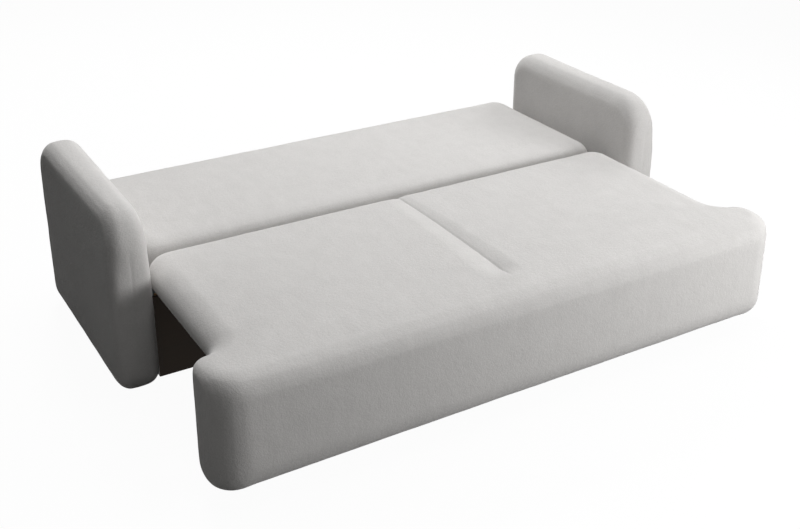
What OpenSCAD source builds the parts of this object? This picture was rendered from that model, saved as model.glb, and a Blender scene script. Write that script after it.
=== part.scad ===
// Pull-out sofa bed, drawn unfolded as a bed.
// The seat rolls out on castors. Its draw bars pull the back section down flat behind it,
// led by two grooves in a track on the inner face of each arm.
// X runs across the sofa, Y from front to rear, Z up. The floor is at Z 0.

/* [Bed] */
// Width of the sleeping surface
bed_w = 2000; // [1600:10:2200]
// Length of the bed, front panel included
bed_l = 1640; // [1600:5:1700]
// Height of the sleeping surface
seat_h = 447; // [440:1:470]
// Length of the seat with its front panel, as a share of the bed's length
seat_share = 0.5525; // [0.545:0.0005:0.56]
// Thickness of the seat slab and of the back section
pad_t = 105; // [100:1:112]
// Gap between the seat and the back section
seam_gap = 10; // [8:1:14]
// Rise of the padding towards the middle
pad_crown = 5; // [2:1:8]
// Gap between the padding and each arm
side_gap = 6; // [6:0.5:10]
// Plan radius of the padding's corners
pad_corner_r = 85; // [80:1:95]
// Radius of the padding's upper edges
pad_edge_r = 75; // [65:1:77]
// Radius of the padding's lower edges
pad_low_r = 22; // [16:1:22]
// Upper and lower radius of the seat's rounded rear edge
seat_nose_r = 48; // [44:1:49]
// Depth of the sewn tuck along the middle of the seat, at its front end
tuck_depth = 13; // [6:1:18]
// Its depth at the seat's rear edge
tuck_rear_depth = 5; // [2:1:8]
// Width of the tuck at its front end
tuck_w = 110; // [60:2:130]

/* [Front panel] */
// Distance that each wing of the front panel stands out past the sleeping surface
wing_out = 96; // [90:1:110]
// Thickness of the front panel
fascia_t = 248; // [244:1:254]
// Height of the front panel above the floor
fascia_lift = 34; // [30:1:38]
// Radius of its upper front edge
fascia_nose_r = 64; // [56:1:80]
// Radius of its lower front edge
fascia_foot_r = 104; // [96:1:106]
// Radius of its front corners, seen from above
fascia_corner_r = 108; // [106:1:112]
// Radius of its wings, seen from above
wing_r = 100; // [96:1:104]
// Radius of the upper edges of its ends
fascia_end_r = 60; // [50:1:70]
// Radius of the lower edges of its ends
fascia_end_low_r = 52; // [46:1:64]
// Radius of the hollow between a wing and the seat's side
wing_fillet_r = 75; // [64:1:80]
// Gap between the wings and the arms when the sofa is closed
wing_gap = 2; // [2:0.5:6]

/* [Arms] */
// Thickness of an arm
arm_t = 150; // [146:1:160]
// Length of an arm, as a share of the bed's length
arm_share = 0.522; // [0.516:0.0005:0.5245]
// Height of an arm's top
arm_h = 676; // [660:1:700]
// Height of an arm above the floor
arm_lift = 12; // [10:1:16]
// Distance from an arm's rear end to the rear edge of the bed
arm_setback = 60; // [56:1:66]
// Radius of an arm's long edges
arm_edge_r = 59; // [54:1:62]
// Profile radius at the front of the top
arm_front_r = 136; // [126:1:146]
// Profile radius at the rear of the top
arm_rear_r = 120; // [110:1:130]
// Profile radius at the bottom
arm_foot_r = 67; // [64:1:72]

/* [Folding track] */
// Angle that the back section swings through
fold_angle = 78; // [76:0.5:80]
// Distance from the back section's front edge to its pivot
pivot_in = 130; // [128:1:136]
// Distance from the padding's underside down to the pivot
pivot_drop = 29; // [27:1:30]
// Distance of the guide pin in front of the pivot
guide_in = 95; // [90:1:100]
// Distance of the guide pin below the pivot
guide_drop = 30; // [28:1:34]
// Outer radius of the pivot's glide bush and of the seat's track roller
roller_r = 10.7; // [10:0.1:11]
// Outer radius of the guide pin's bush
guide_bush_r = 7; // [6.5:0.1:7.5]
// Radius of the pins and of the roller's axle
pin_r = 4; // [3.5:0.1:4.5]
// Play of a bush or roller in its groove, each side
groove_play = 0.3; // [0.3:0.05:0.5]
// Thickness of a track plate
track_t = 14; // [13:0.5:15]
// Depth of its grooves
groove_depth = 12; // [11:0.5:12]
// Distance from the seat's rear edge to the track roller
roller_in = 64; // [62:1:70]
// Thickness of a draw bar
bar_t = 3; // [2.5:0.1:3.2]
// Height of a draw bar
bar_h = 24; // [22:1:28]
// Thickness of the steel brackets
bracket_t = 4; // [3:0.5:4]

/* [Base] */
// Thickness of the base's boards
board_t = 16; // [14:1:18]
// Height of the base's boards above the floor
base_lift = 28; // [24:1:36]
// Distance from the arms' front to the front board
board_setback = 49; // [44:1:54]
// Height of the low side boards' top
side_board_top = 170; // [150:2:176]
// Thickness of the felt between boards and padding
felt_t = 7; // [5:1:9]
// Radius of a foot
foot_r = 16; // [12:1:20]
// Radius of a bolt's shank
bolt_r = 4; // [3:0.5:5]
// Radius of a wood screw
screw_r = 2.5; // [2:0.1:3]

/* [Padding frames] */
// Width of a frame rail
rail_w = 60; // [50:1:66]
// Thickness of a frame rail
rail_t = 28; // [24:1:28]
// Thickness of the cover's turned-in hem under the frame
hem_t = 2; // [1.5:0.1:2.5]
// Wall of padding beside the frame
wall_side = 42; // [42:1:48]
// Wall of padding behind the seat frame
wall_rear = 72; // [72:1:78]
// Wall of padding round the back section's frame, front and rear
wall_back = 45; // [45:1:50]
// Padding over the foam core
wall_top = 29; // [28:1:32]
// Diameter of the spring wire
wire_d = 3.6; // [3:0.1:4]
// Half width of a zigzag spring
spring_half_w = 22; // [18:1:26]
// Number of springs in each frame
spring_count = 6; // [4:1:8]
// Thickness of the felt over the springs
spring_felt_t = 3; // [2:0.5:4]
// Thickness of the lining under each frame
lining_t = 1.5; // [1:0.1:1.8]
// Wall of padding round the front panel's frame
fascia_wall = 45; // [44:1:48]
// Wall of padding at the ends of the front panel's frame
fascia_end_wall = 83; // [83:1:90]

/* [Castors] */
// Radius of a castor wheel
castor_r = 25; // [22:1:26]
// Width of a castor wheel
castor_w = 22; // [18:1:26]
// Distance of the outer castors from the middle of the sofa
castor_out = 900; // [860:10:940]
// Distance of the inner castors from the middle of the sofa
castor_in = 300; // [240:10:360]

/* [Hidden] */

// Clearances
fit = 0.3;          // beside a neighbour that is not fastened by a shaft
pin_fit = 0.05;     // round a pin or a bolt
face_gap = 0.3;     // between two flat faces

// Places along the bed
seat_l = seat_share * bed_l;
arm_l = arm_share * bed_l;
y_front = -bed_l / 2;
y_fascia_back = y_front + fascia_t;
y_seat_rear = y_front + seat_l;
y_back_front = y_seat_rear + seam_gap;
y_back_rear = bed_l / 2;
y_arm_rear = y_back_rear - arm_setback;
y_arm_front = y_arm_rear - arm_l;
travel = y_arm_front - y_fascia_back - wing_gap;

// Places across the bed
pad_half = bed_w / 2;
arm_in = pad_half + side_gap;
arm_out = arm_in + arm_t;
fascia_half = pad_half + wing_out;

// Heights
z_under = seat_h - pad_t;
z_edge = seat_h - pad_crown;
z_board_top = z_under - felt_t;
z_rail = z_under + hem_t;
z_rail_top = z_rail + rail_t;
z_wire = z_rail_top + face_gap;
z_felt = z_wire + wire_d + 1;
z_foam = z_felt + spring_felt_t + face_gap;
z_foam_top = seat_h - wall_top;

// Padding frames
frame_half = pad_half - wall_side;
seat_frame_y = [y_fascia_back - fascia_wall, y_seat_rear - wall_rear];
back_frame_y = [y_back_front + wall_back, y_back_rear - wall_back];
window_half = frame_half - rail_w;
cross_rail_w = 45;
cross_rail_drop = 6;
clip_w = 18;
clip_l = 26;
clip_in = 8;
spring_pitch = 32;

// Pivot, guide pin and track
y_pivot = y_back_front + pivot_in;
z_pivot = z_under - pivot_drop;
guide_reach = norm([guide_in, guide_drop]);
guide_start = 180 + atan2(guide_drop, guide_in);
y_roller = y_seat_rear - roller_in;
groove_half = roller_r + groove_play;
guide_half = guide_bush_r + groove_play;
track_rim = 16;
z_guide_end = z_pivot + guide_reach * sin(guide_start + fold_angle);
track_y = [y_roller - groove_half - track_rim, y_pivot + travel + groove_half + track_rim];
track_z = [z_guide_end - guide_half - track_rim, z_pivot + groove_half + track_rim];
track_screw_in = 8;
track_screw_end = 34;

// Steel in the gap between padding and arm
leg_out = pad_half - 3;
leg_in = leg_out - bracket_t;
bar_in = pad_half + (side_gap - bar_t) / 2;
bar_out = bar_in + bar_t;
bush_in = arm_in + 0.5;
bush_l = groove_depth - 3;
pin_end = bush_in + bush_l;
bracket_plate_t = 3;
bracket_reach = 70;
rivet_in = 8;
hinge_plate_l = 112;
bracket_screw_in = 7;
screw_reach = 20;
boss_r = 11;

// Base
y_board = y_arm_front + board_setback;
y_rear_board = y_arm_rear - board_t;
board_half = arm_in - face_gap;
side_out = board_half;
side_in = side_out - board_t;
beam_h = 90;
beam_places = [0.3, 0.68];
block_size = 40;
block_h = side_board_top - base_lift - 20;
foot_x = [-0.4 * bed_w, 0, 0.4 * bed_w];
foot_stem = 30;
rest_pad_x = [-0.4 * bed_w, -0.15 * bed_w, 0.15 * bed_w, 0.4 * bed_w];
rest_pad_l = 120;
glide_x = [-0.33 * bed_w, 0, 0.33 * bed_w];
glide_l = 300;
block_screw_y = 0.72 * block_size;
block_screw_z = [0.25 * block_h, 0.75 * block_h];

// Arm frame
arm_board_t = 14;
arm_wall_in = track_t + 1;
arm_wall_out = 25;
arm_wall = 36;
arm_board_in = arm_in + arm_wall_in;
arm_board_out = arm_out - arm_wall_out;
arm_mid = (arm_in + arm_out) / 2;
batten_w = 40;
arm_bolt_y = [y_board + board_t + 90, y_rear_board - 90];
arm_bolt_z = (base_lift + side_board_top) / 2;
bolt_head_r = 1.9 * bolt_r;
bolt_head_t = 6;
arm_foot_y = [y_arm_front + 170, y_arm_rear - 160];

// Front panel frame
fascia_frame_half = fascia_half - fascia_end_wall;
fascia_frame_y = [y_front + fascia_wall, y_fascia_back - fascia_wall];
fascia_frame_z = [fascia_lift + fascia_wall, z_edge - fascia_wall + 3];
rib_count = 7;
castor_x = [-castor_out, -castor_in, castor_in, castor_out];
y_castor = y_front + fascia_t / 2;
axle_r = 4;
cheek_t = 2.5;
cheek_gap = 1.5;

fabric = "#C9C7C2";
foam = "#E9DDB4";
wood = "#C8A878";
dark_board = "#2A2018";
steel = "#9A9DA0";
plastic = "#303234";
felt = "#55524E";

// Both sides of the sofa
module each_side() {
    children();
    mirror([1, 0, 0]) children();
}

module box(from, to) {
    translate(from) cube(to - from);
}

// A rod along X from one place to another
module rod(x0, x1, y, z, r, sides = 48) {
    translate([x0, y, z]) rotate([0, 90, 0]) cylinder(h = x1 - x0, r = r, $fn = sides);
}

// Points of an arc, both ends included
function arc(c, r, a0, a1, n) =
    [for (i = [0:n]) let(a = a0 + (a1 - a0) * i / n) [c[0] + r * cos(a), c[1] + r * sin(a)]];

// Rounded rectangle, radii from the lower left corner round to the upper left one
function rounded(x0, x1, y0, y1, r, n) = concat(
    arc([x1 - r[1], y0 + r[1]], r[1], 270, 360, n),
    arc([x1 - r[2], y1 - r[2]], r[2], 0, 90, n),
    arc([x0 + r[3], y1 - r[3]], r[3], 90, 180, n),
    arc([x0 + r[0], y0 + r[0]], r[0], 180, 270, n));

// Side profile of an arm, drawn in by a distance
function arm_profile(d, n) = rounded(
    y_arm_front + d, y_arm_rear - d, arm_lift + d, arm_h - d,
    [arm_foot_r - d, arm_foot_r - d, arm_rear_r - d, arm_front_r - d], n);

// Middle of the box round a ring of points
function centre(ring) = [for (k = [0:2]) let(v = [for (p = ring) p[k]]) (min(v) + max(v)) / 2];

// Skin between rings of equal length, closed by a fan of triangles at each end
module loft(rings) {
    n = len(rings[0]);
    m = len(rings);
    skin = [for (j = [0:m - 2]) for (i = [0:n - 1]) let(k = (i + 1) % n)
        each [[j * n + i, (j + 1) * n + i, j * n + k], [j * n + k, (j + 1) * n + i, (j + 1) * n + k]]];
    fans = [for (i = [0:n - 1]) let(k = (i + 1) % n, last = (m - 1) * n)
        each [[i, k, m * n], [last + k, last + i, m * n + 1]]];
    polyhedron(points = concat([for (ring = rings) each ring], [centre(rings[0]), centre(rings[m - 1])]),
        faces = concat(skin, fans), convexity = 6);
}

// Soft outer form of the right arm
module arm_form() {
    steps = 5;
    inner = [for (j = [0:steps]) let(a = 90 * j / steps)
        [arm_in + arm_edge_r * (1 - cos(a)), arm_edge_r * (1 - sin(a))]];
    outer = [for (j = [steps:-1:0]) let(a = 90 * j / steps)
        [arm_out - arm_edge_r * (1 - cos(a)), arm_edge_r * (1 - sin(a))]];
    loft([for (s = concat(inner, outer)) [for (p = arm_profile(s[1], 7)) [s[0], p[0], p[1]]]]);
}

// Plate in the YZ plane with the arm's profile
module arm_plate(x0, x1, inset) {
    translate([x0, 0, 0]) rotate([90, 0, 90])
        linear_extrude(x1 - x0) polygon(arm_profile(inset, 10));
}

module arm_cover_right() {
    color(fabric) difference() {
        arm_form();
        arm_plate(arm_board_in - fit, arm_board_out + fit, arm_wall - fit);
        box([arm_in - 5, track_y[0] - fit, track_z[0] - fit],
            [arm_board_in, track_y[1] + fit, track_z[1] + fit]);
        for (y = arm_bolt_y)
            rod(arm_in - 5, arm_board_in + 1, y, arm_bolt_z, bolt_r + fit);
        for (y = arm_foot_y)
            translate([arm_mid, y, 0]) cylinder(h = arm_lift + arm_wall, r = bolt_r + fit, $fn = 32);
    }
}

module arm_cover_left() {
    mirror([1, 0, 0]) arm_cover_right();
}

// Board behind the arm's inner padding, bored for the bolts and the track's screws
module arm_inner_board_right() {
    color(wood) difference() {
        arm_plate(arm_board_in, arm_board_in + arm_board_t, arm_wall);
        for (y = arm_bolt_y)
            rod(arm_board_in - 1, arm_board_in + arm_board_t + 1, y, arm_bolt_z, bolt_r + pin_fit);
        track_screw_places()
            rod(arm_board_in - 1, arm_board_in + arm_board_t + 1, 0, 0, screw_r + pin_fit);
    }
}

module arm_inner_board_left() {
    mirror([1, 0, 0]) arm_inner_board_right();
}

module arm_outer_board_right() {
    color(wood) arm_plate(arm_board_out - arm_board_t, arm_board_out, arm_wall);
}

module arm_outer_board_left() {
    mirror([1, 0, 0]) arm_outer_board_right();
}

// Four battens between the two boards of each arm
module arm_battens() {
    x0 = arm_board_in + arm_board_t;
    x1 = arm_board_out - arm_board_t;
    y0 = y_arm_front + arm_wall;
    y1 = y_arm_rear - arm_wall;
    z0 = arm_lift + arm_wall;
    z1 = arm_h - arm_wall;
    color(wood) each_side() {
        difference() {
            box([x0, y0 + batten_w, z0], [x1, y1 - batten_w, z0 + batten_w]);
            for (y = arm_foot_y)
                translate([arm_mid, y, z0 - 1])
                    cylinder(h = batten_w, r = bolt_r + pin_fit, $fn = 32);
        }
        box([x0, y0 + arm_front_r - arm_wall, z1 - batten_w], [x1, y1 - arm_rear_r + arm_wall, z1]);
        box([x0, y0, z0 + batten_w], [x1, y0 + batten_w, z1 - arm_front_r + arm_wall]);
        box([x0, y1 - batten_w, z0 + batten_w], [x1, y1, z1 - arm_rear_r + arm_wall]);
    }
}

// Screw-in glides under the arms
module arm_feet() {
    stem = arm_wall + batten_w - 12;
    color(plastic) each_side() for (y = arm_foot_y) translate([arm_mid, y, 0]) {
        cylinder(h = arm_lift - face_gap, r = foot_r, $fn = 48);
        cylinder(h = arm_lift + stem, r = bolt_r, $fn = 32);
    }
}

// Bolts that hold the base's side boards to the arms
module arm_bolts() {
    color(steel) each_side() for (y = arm_bolt_y) {
        rod(side_in - bolt_head_t, side_in, y, arm_bolt_z, bolt_head_r);
        rod(side_in - bolt_head_t, arm_board_in + arm_board_t - 1, y, arm_bolt_z, bolt_r);
    }
}

// Screws of a track plate lie in its corners
module track_screw_places() {
    for (y = [track_y[0] + track_screw_in, track_y[1] - track_screw_end])
        for (z = [track_z[0] + track_screw_in, track_z[1] - track_screw_in])
            translate([0, y, z]) children();
}

// Middle line of the curved groove, from the flat bed at 0 to the closed sofa at 1
function guide_path(t) = let(a = guide_start + fold_angle * t)
    [y_pivot + travel * t + guide_reach * cos(a), z_pivot + guide_reach * sin(a)];

function guide_normal(t) = let(a = guide_start + fold_angle * t, turn = fold_angle * PI / 180,
        v = [travel - guide_reach * turn * sin(a), guide_reach * turn * cos(a)])
    [-v[1], v[0]] / norm(v);

// Outline of the curved groove
function guide_edge(side, steps) =
    [for (i = [0:steps]) guide_path(i / steps) + side * guide_half * guide_normal(i / steps)];

module guide_slot() {
    steps = 28;
    forward = guide_edge(1, steps);
    back = guide_edge(-1, steps);
    polygon(concat(forward, [for (i = [steps:-1:0]) back[i]]));
    for (t = [0, 1]) translate(guide_path(t)) circle(r = guide_half, $fn = 48);
}

module straight_slot() {
    translate([y_roller, z_pivot - groove_half])
        square([y_pivot + travel - y_roller, 2 * groove_half]);
    for (y = [y_roller, y_pivot + travel])
        translate([y, z_pivot]) circle(r = groove_half, $fn = 48);
}

// Track plate of the right arm: a straight groove over a curved one
module track_plate_right() {
    color(plastic) difference() {
        box([arm_in, track_y[0], track_z[0]], [arm_in + track_t, track_y[1], track_z[1]]);
        translate([arm_in - 1, 0, 0]) rotate([90, 0, 90]) linear_extrude(groove_depth + 1) {
            straight_slot();
            guide_slot();
        }
        track_screw_places() {
            rod(arm_in - 1, arm_in + track_t + 1, 0, 0, screw_r + pin_fit);
            rod(arm_in - 1, arm_in + 3, 0, 0, 2 * screw_r + pin_fit);
        }
    }
}

module track_plate_left() {
    mirror([1, 0, 0]) track_plate_right();
}

module track_screws() {
    color(steel) each_side() track_screw_places() {
        rod(arm_in + 0.5, arm_in + 3, 0, 0, 2 * screw_r);
        rod(arm_in + 0.5, arm_board_in + arm_board_t - 1, 0, 0, screw_r);
    }
}

// Dark board that closes the base at the front
module base_front_board() {
    color(dark_board)
        box([-board_half, y_board, base_lift], [board_half, y_board + board_t, z_board_top]);
}

module base_rear_board() {
    color(dark_board)
        box([-board_half, y_rear_board, base_lift], [board_half, y_rear_board + board_t, z_board_top]);
}

// Low board on the right, bolted to the arm
module base_side_board_right() {
    color(dark_board) difference() {
        box([side_in, y_board + board_t, base_lift], [side_out, y_rear_board, side_board_top]);
        for (y = arm_bolt_y) rod(side_in - 1, side_out + 1, y, arm_bolt_z, bolt_r + pin_fit);
    }
}

module base_side_board_left() {
    mirror([1, 0, 0]) base_side_board_right();
}

function beam_y(share) = y_board + board_t + share * (y_rear_board - y_board - board_t);

// Beams across the base between the side boards
module base_cross_beams() {
    color(wood) for (share = beam_places) difference() {
        box([-side_in, beam_y(share), base_lift], [side_in, beam_y(share) + 2 * board_t, base_lift + beam_h]);
        for (x = foot_x)
            translate([x, beam_y(share) + board_t, base_lift - 1])
                cylinder(h = foot_stem + 10, r = bolt_r + pin_fit, $fn = 32);
    }
}

// Blocks glued and screwed into the corners of the base
module block_places() {
    each_side() {
        translate([side_in, y_board + board_t, base_lift]) children();
        translate([side_in, y_rear_board, base_lift]) mirror([0, 1, 0]) children();
    }
}

module corner_blocks() {
    color(wood) block_places() difference() {
        linear_extrude(block_h)
            polygon([[0, 0], [0, block_size], [-board_t, block_size],
                [-block_size, board_t], [-block_size, 0]]);
        for (z = block_screw_z) translate([0, block_screw_y, z]) rotate([0, -90, 0]) {
            translate([0, 0, -1]) cylinder(h = block_size, r = screw_r + pin_fit, $fn = 32);
            translate([0, 0, board_t + 1]) cylinder(h = block_size, r = 2 * screw_r + fit, $fn = 32);
        }
    }
}

// Screws through the blocks, their tips against the side boards
module block_screws() {
    color(steel) block_places() for (z = block_screw_z)
        translate([-face_gap, block_screw_y, z]) rotate([0, -90, 0]) {
            cylinder(h = board_t + 2, r = screw_r, $fn = 32);
            translate([0, 0, board_t + 1 - face_gap]) cylinder(h = 2, r = 2 * screw_r, $fn = 32);
        }
}

module base_feet() {
    color(plastic) for (share = beam_places) for (x = foot_x)
        translate([x, beam_y(share) + board_t, 0]) {
            cylinder(h = base_lift - face_gap, r = foot_r, $fn = 48);
            cylinder(h = base_lift + foot_stem, r = bolt_r, $fn = 32);
        }
}

// Felt pads on the rear board, under the back section
module rest_pads() {
    color(felt) for (x = rest_pad_x)
        box([x - rest_pad_l / 2, y_rear_board + 1, z_board_top],
            [x + rest_pad_l / 2, y_rear_board + board_t - 1, z_under - face_gap]);
}

// Felt strips on the front board, under the seat
module front_glides() {
    color(felt) for (x = glide_x)
        box([x - glide_l / 2, y_board + 1, z_board_top],
            [x + glide_l / 2, y_board + board_t - 1, z_under - face_gap]);
}

// A station of an outline seen from above: centre, direction, radius, sign, upper and lower radius
function at(s, d) = [
    s[0][0] + (s[2] - s[3] * d) * cos(s[1]),
    s[0][1] + (s[2] - s[3] * d) * sin(s[1])];

function mix(a, b, t) = a + (b - a) * t;

function flipped(s) = [[-s[0][0], s[0][1]], 180 - s[1], s[2], s[3], s[4], s[5]];

function reversed(list) = [for (i = [len(list) - 1:-1:0]) list[i]];

edge_h = z_edge - z_under;
wing_c = [fascia_half - wing_r, y_fascia_back - wing_r];
fillet_c = [pad_half + wing_fillet_r,
    wing_c[1] + sqrt(pow(wing_r + wing_fillet_r, 2) - pow(pad_half + wing_fillet_r - wing_c[0], 2))];
wing_end = atan2(fillet_c[1] - wing_c[1], fillet_c[0] - wing_c[0]);
panel_low_r = wing_r - 2;

// Places along the straight of the front panel, shared by its front and rear
span_x = [0, 0.3 * pad_half, 0.6 * pad_half];

// Right half of the seat's outline, from the middle of its front to the end of the wing
front_stations = concat(
    [for (x = span_x) [[x, y_front + fascia_corner_r], 270,
        fascia_corner_r, 1, fascia_nose_r, fascia_foot_r]],
    [for (i = [0:6]) let(t = i / 6) [[fascia_half - fascia_corner_r, y_front + fascia_corner_r],
        270 + 90 * t, fascia_corner_r, 1,
        mix(fascia_nose_r, fascia_end_r, t), mix(fascia_foot_r, fascia_end_low_r, t)]],
    [for (i = [0:4]) let(t = i / 4) [wing_c, wing_end * t,
        wing_r, 1, mix(fascia_end_r, edge_h, t), mix(fascia_end_low_r, panel_low_r, t)]]);

// The seat's side and rear, from the wing to the middle of the rear edge
slab_stations = concat(
    [for (i = [1:4]) let(t = i / 4) [fillet_c, 180 + wing_end * (1 - t),
        wing_fillet_r, -1, mix(edge_h, pad_edge_r, t), mix(0, pad_low_r, t)]],
    [for (i = [0:5]) let(t = i / 5) [[pad_half - pad_corner_r, y_seat_rear - pad_corner_r], 90 * t,
        pad_corner_r, 1, mix(pad_edge_r, seat_nose_r, t), mix(pad_low_r, seat_nose_r, t)]],
    [for (x = reversed(span_x)) [[x, y_seat_rear - pad_corner_r], 90,
        pad_corner_r, 1, seat_nose_r, seat_nose_r]]);

// The front panel's rear wall under the slab, from the wing to the middle
rear_wall_stations = concat(
    [for (i = [1:3]) [wing_c, mix(wing_end, 90, i / 3), wing_r, 1, 0, panel_low_r]],
    [for (x = reversed(span_x)) [[x, wing_c[1]], 90, wing_r, 1, 0, panel_low_r]]);

function both_halves(right) = concat(right, [for (s = reversed(right)) if (s[0][0] > 0) flipped(s)]);

// Whole outline: the front from left wing to right wing, then the slab from right to left
front_all = concat([for (s = reversed(front_stations)) if (s[0][0] > 0) flipped(s)], front_stations);
slab_all = both_halves(slab_stations);
wall_all = both_halves(rear_wall_stations);
outline = concat(front_all, slab_all);

function upper_point(s, a) = let(p = at(s, s[4] * (1 - cos(a)))) [p[0], p[1], z_edge - s[4] * (1 - sin(a))];

function lower_point(s, a, z) = let(p = at(s, s[5] * (1 - cos(a)))) [p[0], p[1], z + s[5] * (1 - sin(a))];

// A point of the crowned top, t of the way in from the edge to the middle line
function crown_point(s, t, y_mid, spread) = let(p = at(s, s[4]))
    [mix(p[0], p[0] * spread, t), mix(p[1], y_mid, t), z_edge + pad_crown * (1 - pow(1 - t, 2)) * 16 / 15];

// Parts of a ring beyond the straight stretch that its front and its rear share
function ring_ends(n, front, rear) = let(half = len(span_x)) [
    [for (k = [front + half:rear - half]) k],
    [for (k = [rear + half:n + front - half]) k % n]];

function cap_middles(ring, front, rear) =
    [for (part = ring_ends(len(ring), front, rear)) centre([for (k = part) ring[k]])];

// Flat cap over a ring: a strip along the straight, and a fan round the middle of each end
function cap(n, front, rear) = let(half = len(span_x), parts = ring_ends(n, front, rear)) concat(
    [for (i = [-half:half - 1]) [front + i, front + i + 1, rear - i - 1, rear - i]],
    [for (g = [0, 1]) let(part = parts[g]) for (k = [0:len(part) - 1])
        [part[k], part[(k + 1) % len(part)], n + g]]);

// Outer form of the seat: slab and front panel in one skin
module seat_form() {
    up = 5;
    low = 3;
    deep = 5;
    f = len(front_all);
    s = len(slab_all);
    w = len(wall_all);
    n = f + s;
    y_mid = y_front + 0.52 * seat_l;
    upper = [for (j = [0:up]) [for (q = outline) upper_point(q, 90 * j / up)]];
    crown = [for (t = [0.25, 0.5, 0.75]) [for (q = outline) crown_point(q, t, y_mid, 0.6)]];
    rings = concat(upper, crown);
    m = len(rings);
    slab_low = [for (j = [0:low]) [for (q = slab_all) lower_point(q, 90 * j / low, z_under)]];
    wall_top_ring = [for (q = wall_all) let(p = at(q, 0)) [p[0], p[1], z_under]];
    deep_rings = [for (j = [0:deep]) [for (q = concat(front_all, wall_all))
        lower_point(q, 90 * j / deep, fascia_lift)]];
    a = m * n;
    b = a + (low + 1) * s;
    c = b + w;
    d = f + w;
    front_mid = (f - 1) / 2;
    slab_mid = f + (s - 1) / 2;
    wall_mid = f + (w - 1) / 2;
    e = c + (deep + 1) * d;
    points = concat([for (r = rings) each r], [for (r = slab_low) each r], wall_top_ring,
        [for (r = deep_rings) each r],
        cap_middles(deep_rings[deep], front_mid, wall_mid), cap_middles(rings[m - 1], front_mid, slab_mid));
    bottom = [for (t = cap(d, front_mid, wall_mid)) [for (k = t) k < d ? c + deep * d + k : e + k - d]];
    top_cap = [for (t = cap(n, front_mid, slab_mid))
        [for (k = reversed(t)) k < n ? (m - 1) * n + k : e + 2 + k - n]];
    top_skin = [for (j = [0:m - 2]) for (i = [0:n - 1]) let(k = (i + 1) % n)
        each [[j * n + i, (j + 1) * n + i, j * n + k], [j * n + k, (j + 1) * n + i, (j + 1) * n + k]]];
    // The slab's sides run from ring 0 down to its underside, closing to a point at each wing
    slab_column = function(i, j) i < 0 ? f - 1 : (i >= s ? 0 : (j < 0 ? f + i : a + j * s + i));
    slab_skin = [for (j = [-1:low - 1]) for (i = [-1:s - 1])
        each [[slab_column(i, j), slab_column(i + 1, j), slab_column(i, j + 1)],
              [slab_column(i + 1, j), slab_column(i + 1, j + 1), slab_column(i, j + 1)]]];
    under = [concat([f - 1], [for (i = [0:s - 1]) a + low * s + i], [0],
        [for (i = [w - 1:-1:0]) b + i])];
    // The front panel below the slab
    panel_column = function(i, j) j >= 0 ? c + j * d + i : (i < f ? i : b + i - f);
    panel_skin = [for (j = [-1:deep - 1]) for (i = [0:d - 1]) let(k = (i + 1) % d)
        each [[panel_column(i, j), panel_column(k, j), panel_column(i, j + 1)],
              [panel_column(k, j), panel_column(k, j + 1), panel_column(i, j + 1)]]];
    skin = concat(top_skin, slab_skin, panel_skin);
    sound = [for (t = skin) if (t[0] != t[1] && t[1] != t[2] && t[2] != t[0]) t];
    polyhedron(points = points, faces = concat(sound, top_cap, under, bottom), convexity = 8);
}

// Sewn tuck: a shallow valley that deepens towards the front panel and ends in a dimple
module tuck() {
    y_end = y_front + 0.21 * seat_l;
    hull() {
        tuck_slice(y_seat_rear + 1, 0.6 * tuck_w, tuck_rear_depth + pad_crown);
        tuck_slice(y_end, tuck_w, tuck_depth);
        tuck_slice(y_end - 0.4 * tuck_w, 2, 0);
    }
}

module tuck_slice(y, width, depth) {
    translate([0, y, seat_h + 1]) rotate([90, 0, 0])
        linear_extrude(1) polygon([[-width / 2, 0], [0, -depth - 1], [width / 2, 0]]);
}

// Pocket in the front panel's underside for a castor
pocket_half = castor_w / 2 + cheek_gap + cheek_t + 3;
pocket_y = castor_r + 5;

module seat_cover() {
    color(fabric) difference() {
        seat_form();
        tuck();
        box([-fascia_frame_half - fit, fascia_frame_y[0] - fit, fascia_frame_z[0] - fit],
            [fascia_frame_half + fit, fascia_frame_y[1] + fit, fascia_frame_z[1] + fit]);
        box([-frame_half - fit, seat_frame_y[0] - fit, z_rail],
            [frame_half + fit, seat_frame_y[1] + fit, z_foam_top + fit]);
        box([-window_half, seat_frame_y[0] + rail_w, z_under - 1],
            [window_half, seat_frame_y[1] - rail_w, z_rail + 1]);
        for (x = castor_x)
            box([x - pocket_half, y_castor - pocket_y, 0],
                [x + pocket_half, y_castor + pocket_y, fascia_frame_z[0]]);
        each_side() seat_bracket_screw_places() screw_bore();
    }
}

// Rails of a padding frame, from front to rear
module end_rail(y0, y1) {
    color(wood) box([-frame_half, y0, z_rail], [frame_half, y1, z_rail_top]);
}

module side_rails(span) {
    color(wood) each_side()
        box([window_half, span[0] + rail_w, z_rail], [frame_half, span[1] - rail_w, z_rail_top]);
}

module cross_rails(span) {
    color(wood) for (x = [-0.5, 0, 0.5])
        box([x * frame_half - cross_rail_w / 2, span[0] + rail_w, z_rail],
            [x * frame_half + cross_rail_w / 2, span[1] - rail_w, z_rail_top - cross_rail_drop]);
}

function spring_x(i) = (i - (spring_count - 1) / 2) * 2 * window_half / spring_count;

// One zigzag spring of round-cornered bends, laid flat
function zigzag(half, pitch, bends, n) = [for (b = [0:bends - 1]) let(side = b % 2 == 0 ? 1 : -1)
    for (i = [0:n]) let(a = 180 * i / n)
        [side * (half - pitch / 2 + pitch / 2 * sin(a)), (b + 0.5) * pitch - pitch / 2 * cos(a)]];

function path_normal(path, i) = let(j = max(i - 1, 0), k = min(i + 1, len(path) - 1),
        v = path[k] - path[j]) [-v[1], v[0]] / norm(v);

module wire_outline(path, w) {
    left = [for (i = [0:len(path) - 1]) path[i] + w / 2 * path_normal(path, i)];
    right = [for (i = [len(path) - 1:-1:0]) path[i] - w / 2 * path_normal(path, i)];
    polygon(concat(left, right));
}

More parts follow.
